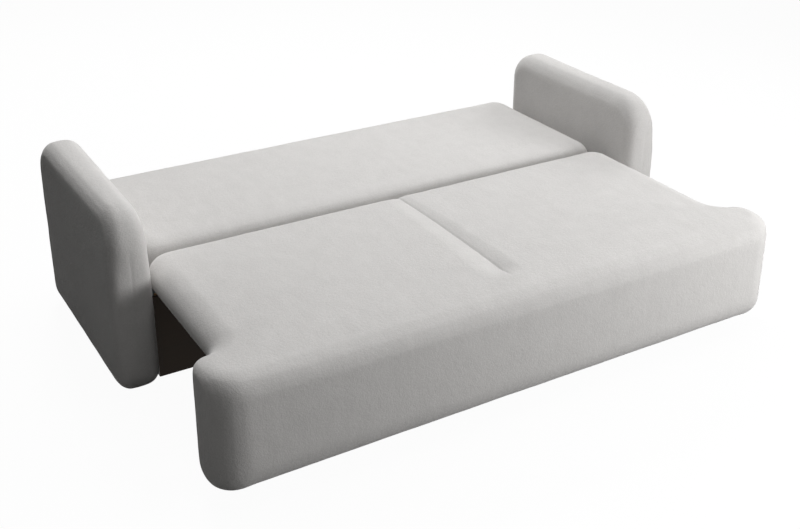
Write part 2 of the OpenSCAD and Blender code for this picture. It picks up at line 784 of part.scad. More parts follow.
module springs(span) {
    length = span[1] - span[0] - rail_w;
    bends = floor(length / spring_pitch);
    pitch = length / bends;
    color(steel) for (i = [0:spring_count - 1])
        translate([spring_x(i), span[0] + rail_w / 2, z_wire]) linear_extrude(wire_d)
            wire_outline(zigzag(spring_half_w, pitch, bends, 4), wire_d);
}

// A clip over each end of each spring
module spring_clips(span) {
    color(steel) for (i = [0:spring_count - 1]) for (y = [span[0] + clip_in, span[1] - clip_in - clip_w])
        translate([spring_x(i) - clip_l / 2, y, z_rail_top]) difference() {
            cube([clip_l, clip_w, wire_d + 1]);
            translate([-1, 2, -1]) cube([clip_l + 2, clip_w - 4, wire_d + 1 + face_gap]);
        }
}

module felt_sheet(span) {
    color(felt) box([-window_half, span[0] + 10, z_felt + face_gap],
        [window_half, span[1] - 10, z_felt + spring_felt_t]);
}

module foam_core(span) {
    color(foam) box([-frame_half, span[0], z_foam], [frame_half, span[1], z_foam_top]);
}

module lining(span) {
    inset = rail_w + fit;
    color(felt) box([-window_half + fit, span[0] + inset, z_under],
        [window_half - fit, span[1] - inset, z_under + lining_t]);
}

module seat_foam() foam_core(seat_frame_y);

module seat_front_rail() {
    difference() {
        end_rail(seat_frame_y[0], seat_frame_y[0] + rail_w);
        fascia_bolt_places() cylinder(h = 3 * rail_w, r = bolt_r + pin_fit, center = true, $fn = 32);
    }
}

module seat_rear_rail() {
    difference() {
        end_rail(seat_frame_y[1] - rail_w, seat_frame_y[1]);
        each_side() seat_bracket_screw_places() screw_bore();
    }
}

module seat_side_rails() {
    difference() {
        side_rails(seat_frame_y);
        each_side() seat_bracket_screw_places() screw_bore();
    }
}

module seat_cross_rails() cross_rails(seat_frame_y);
module seat_springs() springs(seat_frame_y);
module seat_spring_clips() spring_clips(seat_frame_y);
module seat_felt() felt_sheet(seat_frame_y);
module seat_lining() lining(seat_frame_y);

// Box frame inside the front panel
module fascia_front_board() {
    color(wood) box([-fascia_frame_half, fascia_frame_y[0], fascia_frame_z[0]],
        [fascia_frame_half, fascia_frame_y[0] + board_t, fascia_frame_z[1]]);
}

module fascia_rear_board() {
    color(wood) difference() {
        box([-fascia_frame_half, fascia_frame_y[1] - board_t, fascia_frame_z[0]],
            [fascia_frame_half, fascia_frame_y[1] - face_gap, fascia_frame_z[1]]);
        fascia_bolt_places() cylinder(h = 3 * board_t, r = bolt_r + pin_fit, center = true, $fn = 32);
    }
}

module fascia_rails() {
    y0 = fascia_frame_y[0] + board_t;
    y1 = fascia_frame_y[1] - board_t;
    color(wood) {
        box([-fascia_frame_half, y0, fascia_frame_z[0]],
            [fascia_frame_half, y1, fascia_frame_z[0] + board_t]);
        box([-fascia_frame_half, y0, fascia_frame_z[1] - board_t],
            [fascia_frame_half, y1, fascia_frame_z[1]]);
    }
}

module fascia_ribs() {
    color(wood) for (i = [0:rib_count - 1]) {
        x = (2 * i / (rib_count - 1) - 1) * (fascia_frame_half - board_t / 2);
        box([x - board_t / 2, fascia_frame_y[0] + board_t, fascia_frame_z[0] + board_t],
            [x + board_t / 2, fascia_frame_y[1] - board_t, fascia_frame_z[1] - board_t]);
    }
}

// Bolts between the front panel's frame and the seat frame, midway between ribs
module fascia_bolt_places() {
    bay = 2 * (fascia_frame_half - board_t / 2) / (rib_count - 1);
    each_side() for (i = [0.5, 1.5, 2.5])
        translate([i * bay, fascia_frame_y[1], z_rail + rail_t / 2]) rotate([-90, 0, 0]) children();
}

module fascia_bolts() {
    color(steel) fascia_bolt_places() {
        translate([0, 0, -board_t - bolt_head_t]) cylinder(h = bolt_head_t, r = bolt_head_r, $fn = 6);
        translate([0, 0, -board_t - bolt_head_t])
            cylinder(h = bolt_head_t + board_t + rail_w - 5, r = bolt_r, $fn = 32);
    }
}

// Fork of a fixed castor, under the front panel's frame
module castor_brackets() {
    x0 = castor_w / 2 + cheek_gap;
    x1 = x0 + cheek_t;
    z_plate = fascia_frame_z[0] - bracket_plate_t;
    color(steel) for (x = castor_x) translate([x, y_castor, 0]) {
        box([-x1, -22, z_plate], [x1, 22, z_plate + bracket_plate_t]);
        each_side() difference() {
            translate([x0, 0, 0]) rotate([90, 0, 90]) linear_extrude(cheek_t)
                polygon(concat([[22, z_plate], [-22, z_plate]], arc([0, castor_r], 10, 190, 350, 10)));
            rod(x0 - 1, x1 + 1, 0, castor_r, axle_r + pin_fit);
        }
    }
}

module castor_axles() {
    reach = castor_w / 2 + cheek_gap + cheek_t;
    color(steel) for (x = castor_x) {
        rod(x - reach - 1.5, x + reach + 1.5, y_castor, castor_r, axle_r);
        for (head = [x - reach - 1, x + reach + 1])
            rod(head - 0.7, head + 0.7, y_castor, castor_r, axle_r + 1.5);
    }
}

// Wheels with a raised hub and a chamfered tread
module castor_wheels() {
    h = castor_w / 2;
    bore = axle_r + pin_fit;
    hub = axle_r + 6;
    rim = castor_r - 6;
    color(plastic) for (x = castor_x) translate([x, y_castor, castor_r]) rotate([0, 90, 0])
        rotate_extrude($fn = 72) polygon([
            [bore, -h - 1], [hub, -h - 1], [hub, -h + 3], [rim, -h + 3], [rim, -h],
            [castor_r - 2, -h], [castor_r, -h + 2], [castor_r, h - 2], [castor_r - 2, h],
            [rim, h], [rim, h - 3], [hub, h - 3], [hub, h + 1], [bore, h + 1]]);
}

// Draw bars: flat steel from the seat's side brackets to the pivots
bar_y0 = y_board + board_t + 7;
bracket_y = [bar_y0, seat_frame_y[1]];
rivet_y = [bracket_y[0] + rivet_in, bracket_y[1] - rivet_in];

module bar_bores(x0, x1, places) {
    for (y = places) rod(x0 - 1, x1 + 1, y, z_pivot, pin_r + pin_fit);
}

module draw_bars() {
    color(steel) each_side() difference() {
        union() {
            box([bar_in, bar_y0, z_pivot - bar_h / 2], [bar_out, y_pivot, z_pivot + bar_h / 2]);
            rod(bar_in, bar_out, y_pivot, z_pivot, bar_h / 2);
        }
        bar_bores(bar_in, bar_out, concat(rivet_y, [y_roller, y_pivot]));
    }
}

// Angle brackets under the seat frame's rear corners
module draw_bar_brackets() {
    color(steel) each_side() difference() {
        union() {
            box([leg_in, bracket_y[0], z_pivot - bar_h / 2], [leg_out, bracket_y[1], z_under]);
            box([leg_out - bracket_reach, bracket_y[0], z_under - bracket_plate_t],
                [leg_out, bracket_y[1], z_under]);
        }
        bar_bores(leg_in, leg_out, rivet_y);
        seat_bracket_screw_places() screw_bore();
    }
}

// Shouldered rivets between bracket and bar
module draw_bar_bolts() {
    color(steel) each_side() for (y = rivet_y) {
        rod(leg_in - 3, leg_in, y, z_pivot, pin_r + 3);
        rod(leg_in - 3, bar_out, y, z_pivot, pin_r);
        rod(leg_out, bar_in, y, z_pivot, pin_r + 2.5);
    }
}

x_screw = (window_half + frame_half) / 2 + 8;

module seat_bracket_screw_places() {
    for (y = [bracket_y[0] + bracket_screw_in, bracket_y[1] - bracket_screw_in])
        translate([x_screw, y, z_under]) children();
}

module back_bracket_screw_places() {
    for (y = [bracket_screw_in, hinge_plate_l - bracket_screw_in])
        translate([x_screw, back_frame_y[0] + y, z_under]) children();
}

module bracket_screw() {
    translate([0, 0, -bracket_plate_t - 1.8]) {
        cylinder(h = 1.8, r = 2 * screw_r, $fn = 32);
        cylinder(h = bracket_plate_t + screw_reach, r = screw_r, $fn = 32);
    }
}

module screw_bore() {
    translate([0, 0, -bracket_plate_t - 1])
        cylinder(h = bracket_plate_t + screw_reach + 1, r = screw_r + pin_fit, $fn = 32);
}

module seat_bracket_screws() {
    color(steel) each_side() seat_bracket_screw_places() bracket_screw();
}

module back_bracket_screws() {
    color(steel) each_side() back_bracket_screw_places() bracket_screw();
}

// Axles of the rollers that carry the seat's rear end in the straight grooves
module roller_axles() {
    color(steel) each_side() {
        rod(bar_in - 1.5, pin_end + 1.5, y_roller, z_pivot, pin_r);
        rod(bar_in - 1.5, bar_in, y_roller, z_pivot, pin_r + 2);
        rod(bar_out, bush_in - 0.3, y_roller, z_pivot, pin_r + 2.5);
        rod(pin_end + 0.3, pin_end + 1.5, y_roller, z_pivot, pin_r + 1.5);
    }
}

module bush(y, z, r) {
    difference() {
        rod(bush_in, pin_end, y, z, r, 64);
        rod(bush_in - 1, pin_end + 1, y, z, pin_r + pin_fit);
    }
}

module track_rollers() {
    color(plastic) each_side() bush(y_roller, z_pivot, roller_r);
}

module glide_bushes() {
    color(plastic) each_side() {
        bush(y_pivot, z_pivot, roller_r);
        bush(guide_path(0)[0], guide_path(0)[1], guide_bush_r);
    }
}

// Brackets under the front corners of the back section, with bosses for both pins
module hinge_brackets() {
    g = guide_path(0);
    y0 = back_frame_y[0];
    y1 = y0 + hinge_plate_l;
    color(steel) each_side() difference() {
        union() {
            translate([leg_in, 0, 0]) rotate([90, 0, 90]) linear_extrude(bracket_t) {
                polygon([[y0, z_under], [g[0] - boss_r * 0.8, g[1] + boss_r * 0.6], [g[0], g[1] - boss_r],
                    [y_pivot, z_pivot - boss_r - 1], [y_pivot + boss_r, z_pivot], [y1, z_under]]);
                translate(g) circle(r = boss_r, $fn = 48);
                translate([y_pivot, z_pivot]) circle(r = boss_r + 1, $fn = 48);
            }
            box([leg_out - bracket_reach, y0, z_under - bracket_plate_t], [leg_out, y1, z_under]);
        }
        bar_bores(leg_in, leg_out, [y_pivot]);
        rod(leg_in - 1, leg_out + 1, g[0], g[1], pin_r + pin_fit);
        back_bracket_screw_places() screw_bore();
    }
}

// Shouldered pins riveted into the hinge brackets
module track_pin(y, z, shoulder_end) {
    rod(leg_in - 3, leg_in, y, z, pin_r + 3);
    rod(leg_in - 3, pin_end + 1.5, y, z, pin_r);
    rod(leg_out, shoulder_end, y, z, pin_r + 2);
    rod(pin_end + 0.3, pin_end + 1.5, y, z, pin_r + 1.5);
}

module track_pins() {
    color(steel) each_side() {
        track_pin(y_pivot, z_pivot, bar_in - 0.3);
        track_pin(guide_path(0)[0], guide_path(0)[1], bush_in - 0.3);
    }
}

// Outer form of the back section, lying flat
back_c = [y_back_front + pad_corner_r, y_back_rear - pad_corner_r];

back_right = concat(
    [for (x = [0, 0.33, 0.66]) [[x * pad_half, back_c[0]], 270, pad_corner_r, 1, pad_edge_r, pad_low_r]],
    [for (i = [0:6]) [[pad_half - pad_corner_r, back_c[0]], 270 + 15 * i,
        pad_corner_r, 1, pad_edge_r, pad_low_r]],
    [for (i = [0:6]) [[pad_half - pad_corner_r, back_c[1]], 15 * i, pad_corner_r, 1, pad_edge_r, pad_low_r]],
    [for (x = [0.66, 0.33, 0]) [[x * pad_half, back_c[1]], 90, pad_corner_r, 1, pad_edge_r, pad_low_r]]);

module back_form() {
    up = 5;
    low = 3;
    stations = both_halves(back_right);
    loft(concat(
        [for (j = [low:-1:0]) [for (q = stations) lower_point(q, 90 * j / low, z_under)]],
        [for (j = [0:up]) [for (q = stations) upper_point(q, 90 * j / up)]],
        [for (t = [0.25, 0.5, 0.75]) [for (q = stations)
            crown_point(q, t, (back_c[0] + back_c[1]) / 2, 0.7)]]));
}

module back_cover() {
    color(fabric) difference() {
        back_form();
        box([-frame_half - fit, back_frame_y[0] - fit, z_rail],
            [frame_half + fit, back_frame_y[1] + fit, z_foam_top + fit]);
        box([-window_half, back_frame_y[0] + rail_w, z_under - 1],
            [window_half, back_frame_y[1] - rail_w, z_rail + 1]);
        each_side() back_bracket_screw_places() screw_bore();
    }
}

module back_foam() foam_core(back_frame_y);

module back_front_rail() {
    difference() {
        end_rail(back_frame_y[0], back_frame_y[0] + rail_w);
        each_side() back_bracket_screw_places() screw_bore();
    }
}

module back_side_rails() {
    difference() {
        side_rails(back_frame_y);
        each_side() back_bracket_screw_places() screw_bore();
    }
}

module back_rear_rail() end_rail(back_frame_y[1] - rail_w, back_frame_y[1]);
module back_cross_rails() cross_rails(back_frame_y);
module back_springs() springs(back_frame_y);
module back_spring_clips() spring_clips(back_frame_y);
module back_felt() felt_sheet(back_frame_y);
module back_lining() lining(back_frame_y);

arm_cover_left();
arm_cover_right();
arm_inner_board_left();
arm_inner_board_right();
arm_outer_board_left();
arm_outer_board_right();
arm_battens();
arm_feet();
arm_bolts();
track_plate_left();
track_plate_right();
track_screws();
base_front_board();
base_rear_board();
base_side_board_left();
base_side_board_right();
base_cross_beams();
corner_blocks();
block_screws();
base_feet();
rest_pads();
front_glides();
seat_cover();
seat_foam();
seat_front_rail();
seat_rear_rail();
seat_side_rails();
seat_cross_rails();
seat_springs();
seat_spring_clips();
seat_felt();
seat_lining();
fascia_front_board();
fascia_rear_board();
fascia_rails();
fascia_ribs();
fascia_bolts();
castor_brackets();
castor_axles();
castor_wheels();
draw_bars();
draw_bar_brackets();
draw_bar_bolts();
seat_bracket_screws();
roller_axles();
track_rollers();
back_cover();
back_foam();
back_front_rail();
back_rear_rail();
back_side_rails();
back_cross_rails();
back_springs();
back_spring_clips();
back_felt();
back_lining();
hinge_brackets();
back_bracket_screws();
track_pins();
glide_bushes();
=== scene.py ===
import math

import bmesh
import bpy
import numpy as np
from mathutils import Euler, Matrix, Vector, noise


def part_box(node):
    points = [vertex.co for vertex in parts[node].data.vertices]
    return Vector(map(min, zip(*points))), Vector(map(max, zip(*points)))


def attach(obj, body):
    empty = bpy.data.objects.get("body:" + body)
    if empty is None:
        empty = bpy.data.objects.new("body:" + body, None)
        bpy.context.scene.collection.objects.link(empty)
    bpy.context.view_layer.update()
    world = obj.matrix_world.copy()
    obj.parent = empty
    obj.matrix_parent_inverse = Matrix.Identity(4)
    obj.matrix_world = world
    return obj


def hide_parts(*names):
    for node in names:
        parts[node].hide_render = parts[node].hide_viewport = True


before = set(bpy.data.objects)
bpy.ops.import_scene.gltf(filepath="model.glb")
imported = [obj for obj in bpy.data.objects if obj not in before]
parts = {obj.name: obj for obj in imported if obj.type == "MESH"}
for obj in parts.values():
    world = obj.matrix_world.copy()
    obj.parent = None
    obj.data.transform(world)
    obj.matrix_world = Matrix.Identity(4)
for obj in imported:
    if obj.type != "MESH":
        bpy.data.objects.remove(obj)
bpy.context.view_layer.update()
scene = bpy.context.scene

# The studio. The camera stands in front of the sofa bed, to its left and above it, and soft boxes
# stand round it and hang over it. The floor and the surround are white to the camera, and the
# floor throws back no more light than a grey carpet.
MM = 0.001
PHOTO_WIDTH = 800
PHOTO_HEIGHT = 529
FOCAL_PIXELS = 1145.28
OPTICAL_CENTRE = (402.36, 185.62)
CAMERA_PLACE = (-1.9927, -3.3506, 2.1951)
CAMERA_TURN_RIGHT = 30.57
CAMERA_TILT_DOWN = 23.43
CAMERA_ROLL = 0.10
SENSOR_WIDTH = 36.0
NEAREST_SEEN = 0.05

lens = bpy.data.cameras.new("camera")
lens.sensor_width = SENSOR_WIDTH
lens.sensor_fit = "HORIZONTAL"
lens.lens = FOCAL_PIXELS * SENSOR_WIDTH / PHOTO_WIDTH
lens.shift_x = (PHOTO_WIDTH / 2 - OPTICAL_CENTRE[0]) / PHOTO_WIDTH
lens.shift_y = (OPTICAL_CENTRE[1] - PHOTO_HEIGHT / 2) / PHOTO_WIDTH
lens.clip_start = NEAREST_SEEN
camera = bpy.data.objects.new("camera", lens)
camera.location = CAMERA_PLACE
camera.rotation_mode = "XYZ"
aim = Euler((math.radians(90 - CAMERA_TILT_DOWN), 0, math.radians(-CAMERA_TURN_RIGHT)), "XYZ")
roll = Euler((0, 0, math.radians(CAMERA_ROLL)), "XYZ")
camera.rotation_euler = (aim.to_matrix() @ roll.to_matrix()).to_euler("XYZ")
scene.collection.objects.link(camera)
scene.camera = camera
scene.view_settings.view_transform = "Standard"


def linear(colour):
    """An sRGB hex colour as the linear RGBA that Blender's sockets take."""
    channels = [int(colour[i:i + 2], 16) / 255 for i in (1, 3, 5)]
    return [c / 12.92 if c <= 0.04045 else ((c + 0.055) / 1.055) ** 2.4 for c in channels] + [1.0]


def add(tree, kind, inputs=None, **settings):
    """Adds a node, gives it its settings, and sets or links its inputs."""
    node = tree.nodes.new(kind)
    for name, value in settings.items():
        setattr(node, name, value)
    for name, value in (inputs or {}).items():
        if isinstance(value, bpy.types.NodeSocket):
            tree.links.new(value, node.inputs[name])
        else:
            node.inputs[name].default_value = value
    return node


def seen_directly(tree):
    """1 for rays from the camera, a mirror or a glass, and 0 for the light that falls on things."""
    rays = add(tree, "ShaderNodeLightPath").outputs
    mirrored = add(tree, "ShaderNodeMath", {0: rays["Is Glossy Ray"], 1: rays["Is Transmission Ray"]},
                   operation="MAXIMUM")
    return add(tree, "ShaderNodeMath", {0: rays["Is Camera Ray"], 1: mirrored.outputs[0]},
               operation="MAXIMUM").outputs[0]


SURROUND = "#8F9196"
SURROUND_STRENGTH = 0.01
world = bpy.data.worlds.new("surround")
world.use_nodes = True
scene.world = world
tree = world.node_tree
tree.nodes.clear()
fill = add(tree, "ShaderNodeBackground", {"Color": linear(SURROUND), "Strength": SURROUND_STRENGTH})
white = add(tree, "ShaderNodeBackground", {"Color": linear("#FFFFFF"), "Strength": 1.0})
choice = add(tree, "ShaderNodeMixShader", {0: seen_directly(tree), 1: fill.outputs[0], 2: white.outputs[0]})
add(tree, "ShaderNodeOutputWorld", {"Surface": choice.outputs[0]})

FLOOR_RADIUS = 14.0
FLOOR_SIDES = 96
FLOOR_GREY = "#6A6A69"
FLOOR_SHADOW_SHARE = 0.04
floor_shape = bmesh.new()
bmesh.ops.create_circle(floor_shape, cap_ends=True, segments=FLOOR_SIDES, radius=FLOOR_RADIUS)
floor_mesh = bpy.data.meshes.new("floor")
floor_shape.to_mesh(floor_mesh)
floor_shape.free()
floor = bpy.data.objects.new("floor", floor_mesh)
scene.collection.objects.link(floor)
paper = bpy.data.materials.new("pale paper floor")
paper.use_nodes = True
tree = paper.node_tree
tree.nodes.clear()
matt = add(tree, "ShaderNodeBsdfDiffuse", {"Color": linear(FLOOR_GREY)})
lit_matt = add(tree, "ShaderNodeBsdfDiffuse", {"Color": linear("#FFFFFF")})
glow = add(tree, "ShaderNodeEmission", {"Color": linear("#FFFFFF"), "Strength": 1.0})
shown = add(tree, "ShaderNodeMixShader", {0: FLOOR_SHADOW_SHARE, 1: glow.outputs[0], 2: lit_matt.outputs[0]})
surface = add(tree, "ShaderNodeMixShader", {0: seen_directly(tree), 1: matt.outputs[0], 2: shown.outputs[0]})
add(tree, "ShaderNodeOutputMaterial", {"Surface": surface.outputs[0]})
floor_mesh.materials.append(paper)

SOFA_MIDDLE = Vector((0, -0.1, 0.35))
SOFT_BOXES = {
    # name: (turn from +X, height angle, distance, width, watts)
    "overhead": (0, 89, 4.0, 3.0, 62.0),
    "front": (295, 12, 3.5, 1.0, 36.0),
    "front right": (320, 12, 3.5, 1.0, 45.0),
    "rear right": (20, 28, 4.0, 1.2, 28.0),
    "high rear right": (60, 35, 4.5, 3.0, 38.0),
    "rear": (90, 45, 6.0, 1.2, 136.0),
    "high rear": (90, 65, 6.0, 1.6, 28.0),
    "left": (220, 30, 4.5, 3.0, 15.5),
}
for name, (turn, height, distance, width, watts) in SOFT_BOXES.items():
    lamp = bpy.data.lights.new(name, "AREA")
    lamp.shape = "SQUARE"
    lamp.size = width
    lamp.energy = watts
    towards = Euler((0, -math.radians(height), math.radians(turn)), "XYZ").to_matrix() @ Vector((1, 0, 0))
    lamp_object = bpy.data.objects.new(name, lamp)
    lamp_object.location = SOFA_MIDDLE + distance * towards
    lamp_object.rotation_euler = (-towards).to_track_quat("-Z", "Y").to_euler()
    scene.collection.objects.link(lamp_object)


# The base's four boards: particle board with a dark walnut foil pressed onto it. They are cut,
# edged with the same foil and screwed to blocks in their corners.
# Painted shade: both foil colours are darkened to about a third of the walnut foil's own, for the shadow that
# falls on the base's boards.
FOIL_LIGHT_WITH_PAINTED_SHADE = "#2C2013"
FOIL_DARK_WITH_PAINTED_SHADE = "#1E150C"
FOIL_STREAK = 8 * MM
FOIL_STREAK_RUN = 350 * MM


def dress(material, *names):
    """Gives CAD nodes their finish."""
    for name in names:
        for place in parts[name].material_slots:
            place.material = material


# Foil prints its grain as fine level streaks, and has a satin gloss.
foil = bpy.data.materials.new("walnut foil on particle board darkened as painted shade")
foil.use_nodes = True
tree = foil.node_tree
face = tree.nodes["Principled BSDF"]
face.inputs["Roughness"].default_value = 0.5
face.inputs["Specular IOR Level"].default_value = 0.15
where = add(tree, "ShaderNodeTexCoord").outputs["Object"]
run = add(tree, "ShaderNodeMapping", {"Vector": where, "Scale": (1 / FOIL_STREAK_RUN, 1 / FOIL_STREAK_RUN,
                                                                   1 / FOIL_STREAK)})
streaks = add(tree, "ShaderNodeTexNoise", {"Vector": run.outputs[0], "Scale": 1.0, "Detail": 5.0,
                                           "Roughness": 0.65, "Distortion": 0.4})
tone = add(tree, "ShaderNodeMix", {0: streaks.outputs["Fac"], 6: linear(FOIL_DARK_WITH_PAINTED_SHADE), 7: linear(FOIL_LIGHT_WITH_PAINTED_SHADE)},
           data_type="RGBA")
tree.links.new(tone.outputs[2], face.inputs["Base Color"])
pores = add(tree, "ShaderNodeBump", {"Height": streaks.outputs["Fac"], "Strength": 0.2, "Distance": 0.2 * MM})
tree.links.new(pores.outputs[0], face.inputs["Normal"])
dress(foil, "base_front_board", "base_rear_board", "base_side_board_left", "base_side_board_right")

# The base's cross beams and corner blocks: spruce, planed and left raw. It shows close growth
# rings, drawn 5 mm apart, that run along each piece. The ring texture's own rings are 0.3 apart.
RING_SPACING = 5 * MM
TEXTURE_RING_SPACING = 0.3
GRAIN_STRETCH = 0.05
WOOD_FIBRE = 1.5 * MM
EARLY_WOOD = "#DFC194"
LATE_WOOD = "#C49B66"
spruce = {}
for axis, direction in enumerate("XYZ"):
    wood = bpy.data.materials.new("planed spruce along " + direction)
    wood.use_nodes = True
    tree = wood.node_tree
    face = tree.nodes["Principled BSDF"]
    face.inputs["Roughness"].default_value = 0.65
    face.inputs["Specular IOR Level"].default_value = 0.3
    where = add(tree, "ShaderNodeTexCoord").outputs["Object"]
    squeeze = [GRAIN_STRETCH if i == axis else 1.0 for i in range(3)]
    run = add(tree, "ShaderNodeMapping", {"Vector": where, "Scale": squeeze})
    ring_scale = TEXTURE_RING_SPACING / RING_SPACING
    rings = add(tree, "ShaderNodeTexWave", {"Vector": run.outputs[0], "Scale": ring_scale,
                                            "Distortion": 2.5, "Detail": 3.0, "Detail Scale": 0.3},
                wave_type="RINGS", rings_direction=direction)
    fibres = add(tree, "ShaderNodeTexNoise", {"Vector": run.outputs[0], "Scale": 1 / WOOD_FIBRE,
                                              "Detail": 3.0})
    mixed = add(tree, "ShaderNodeMath", {0: rings.outputs["Fac"], 1: fibres.outputs["Fac"]},
                operation="MULTIPLY")
    tone = add(tree, "ShaderNodeMix", {0: mixed.outputs[0], 6: linear(EARLY_WOOD), 7: linear(LATE_WOOD)},
               data_type="RGBA")
    tree.links.new(tone.outputs[2], face.inputs["Base Color"])
    raised = add(tree, "ShaderNodeBump", {"Height": mixed.outputs[0], "Strength": 0.3, "Distance": 0.3 * MM})
    tree.links.new(raised.outputs[0], face.inputs["Normal"])
    spruce[direction] = wood
dress(spruce["X"], "base_cross_beams")
dress(spruce["Z"], "corner_blocks")

# The screws of the corner blocks: steel, rolled and zinc plated. The plating is bright with a
# faint cloudy bloom.
ZINC = "#B9BCBE"
ZINC_BLOOM = "#A3A7AA"
ZINC_CLOUD = 9 * MM
ZINC_DENT = 0.8 * MM
ZINC_ROUGHNESS = (0.28, 0.45)
zinc = bpy.data.materials.new("zinc plated steel")
zinc.use_nodes = True
tree = zinc.node_tree
plated = tree.nodes["Principled BSDF"]
plated.inputs["Metallic"].default_value = 1.0
where = add(tree, "ShaderNodeTexCoord").outputs["Object"]
bloom = add(tree, "ShaderNodeTexNoise", {"Vector": where, "Scale": 1 / ZINC_CLOUD, "Detail": 4.0})
tone = add(tree, "ShaderNodeMix", {0: bloom.outputs["Fac"], 6: linear(ZINC), 7: linear(ZINC_BLOOM)},
           data_type="RGBA")
tree.links.new(tone.outputs[2], plated.inputs["Base Color"])
sheen = add(tree, "ShaderNodeMapRange", {"Value": bloom.outputs["Fac"], "To Min": ZINC_ROUGHNESS[0],
                                         "To Max": ZINC_ROUGHNESS[1]})
tree.links.new(sheen.outputs[0], plated.inputs["Roughness"])
drawn = add(tree, "ShaderNodeTexNoise", {"Vector": where, "Scale": 1 / ZINC_DENT, "Detail": 2.0})
dents = add(tree, "ShaderNodeBump", {"Height": drawn.outputs["Fac"], "Strength": 0.15,
                                     "Distance": 0.05 * MM})
tree.links.new(dents.outputs[0], plated.inputs["Normal"])
dress(zinc, "block_screws")

# The feet under the base and the arms: black polyamide, moulded, with a fine spark-eroded texture
# on the skin. A pressed-in stem holds each one.
POLYAMIDE = "#1B1C1E"
POLYAMIDE_WORN = "#242527"
MOULD_TEXTURE = 1.2 * MM
SCUFF = 14 * MM
polyamide = bpy.data.materials.new("moulded black polyamide")
polyamide.use_nodes = True
tree = polyamide.node_tree
skin = tree.nodes["Principled BSDF"]
skin.inputs["Roughness"].default_value = 0.45
where = add(tree, "ShaderNodeTexCoord").outputs["Object"]
texture = add(tree, "ShaderNodeTexNoise", {"Vector": where, "Scale": 1 / MOULD_TEXTURE, "Detail": 2.0})
scuffs = add(tree, "ShaderNodeTexNoise", {"Vector": where, "Scale": 1 / SCUFF, "Detail": 5.0})
tone = add(tree, "ShaderNodeMix", {0: scuffs.outputs["Fac"], 6: linear(POLYAMIDE), 7: linear(POLYAMIDE_WORN)},
           data_type="RGBA")
tree.links.new(tone.outputs[2], skin.inputs["Base Color"])
eroded = add(tree, "ShaderNodeBump", {"Height": texture.outputs["Fac"], "Strength": 0.3,
                                      "Distance": 0.06 * MM})
tree.links.new(eroded.outputs[0], skin.inputs["Normal"])
dress(polyamide, "base_feet", "arm_feet")

# The arms' frames: plywood sides on spruce battens, glued and stapled, and bolted through the
# base's side boards. Birch plywood has a pale, faintly figured face, and its edges show the plies.
PLY = 2.8 * MM
BIRCH = "#DCC59C"
BIRCH_FIGURE = "#CFB385"
BIRCH_FIGURE_WIDTH = 50 * MM
BIRCH_FIGURE_HEIGHT = 6 * MM
PLY_DARK = "#A98558"
PLY_EDGE_SLANT = 0.5
plywood = {}
for axis, direction in enumerate("XY"):
    board = bpy.data.materials.new("birch plywood, plies along " + direction)
    board.use_nodes = True
    tree = board.node_tree
    face = tree.nodes["Principled BSDF"]
    face.inputs["Roughness"].default_value = 0.6
    face.inputs["Specular IOR Level"].default_value = 0.3
    where = add(tree, "ShaderNodeTexCoord").outputs["Object"]
    run = add(tree, "ShaderNodeMapping", {"Vector": where, "Scale": (1 / BIRCH_FIGURE_WIDTH,
                                                                     1 / BIRCH_FIGURE_WIDTH,
                                                                     1 / BIRCH_FIGURE_HEIGHT)})
    figure = add(tree, "ShaderNodeTexNoise", {"Vector": run.outputs[0], "Scale": 1.0, "Detail": 5.0})
    tone = add(tree, "ShaderNodeMix", {0: figure.outputs["Fac"], 6: linear(BIRCH), 7: linear(BIRCH_FIGURE)},
               data_type="RGBA")
    across = add(tree, "ShaderNodeSeparateXYZ", {"Vector": where}).outputs[axis]
    plies = add(tree, "ShaderNodeMath", {0: across, 1: math.pi / PLY}, operation="MULTIPLY")
    wave = add(tree, "ShaderNodeMath", {0: plies.outputs[0]}, operation="SINE")
    cross_ply = add(tree, "ShaderNodeMath", {0: wave.outputs[0], 1: 0.0}, operation="GREATER_THAN")
    facing = add(tree, "ShaderNodeNewGeometry").outputs["Normal"]
    square_on = add(tree, "ShaderNodeSeparateXYZ", {"Vector": facing}).outputs[axis]
    level = add(tree, "ShaderNodeMath", {0: square_on}, operation="ABSOLUTE")
    edge = add(tree, "ShaderNodeMath", {0: level.outputs[0], 1: PLY_EDGE_SLANT}, operation="LESS_THAN")
    striped = add(tree, "ShaderNodeMath", {0: cross_ply.outputs[0], 1: edge.outputs[0]}, operation="MULTIPLY")
    layered = add(tree, "ShaderNodeMix", {0: striped.outputs[0], 6: tone.outputs[2], 7: linear(PLY_DARK)},
                  data_type="RGBA")
    tree.links.new(layered.outputs[2], face.inputs["Base Color"])
    grain = add(tree, "ShaderNodeBump", {"Height": figure.outputs["Fac"], "Strength": 0.2,
                                         "Distance": 0.2 * MM})
    tree.links.new(grain.outputs[0], face.inputs["Normal"])
    plywood[direction] = board
dress(plywood["X"], "arm_inner_board_left", "arm_inner_board_right", "arm_outer_board_left",
      "arm_outer_board_right")
dress(spruce["Y"], "arm_battens")
dress(zinc, "arm_bolts")

# The tracks let into the arms' inner sides: plates of black polyamide with the rollers' and
# guides' slots milled into them, each held by countersunk screws.
dress(polyamide, "track_plate_left", "track_plate_right")
dress(zinc, "track_screws")

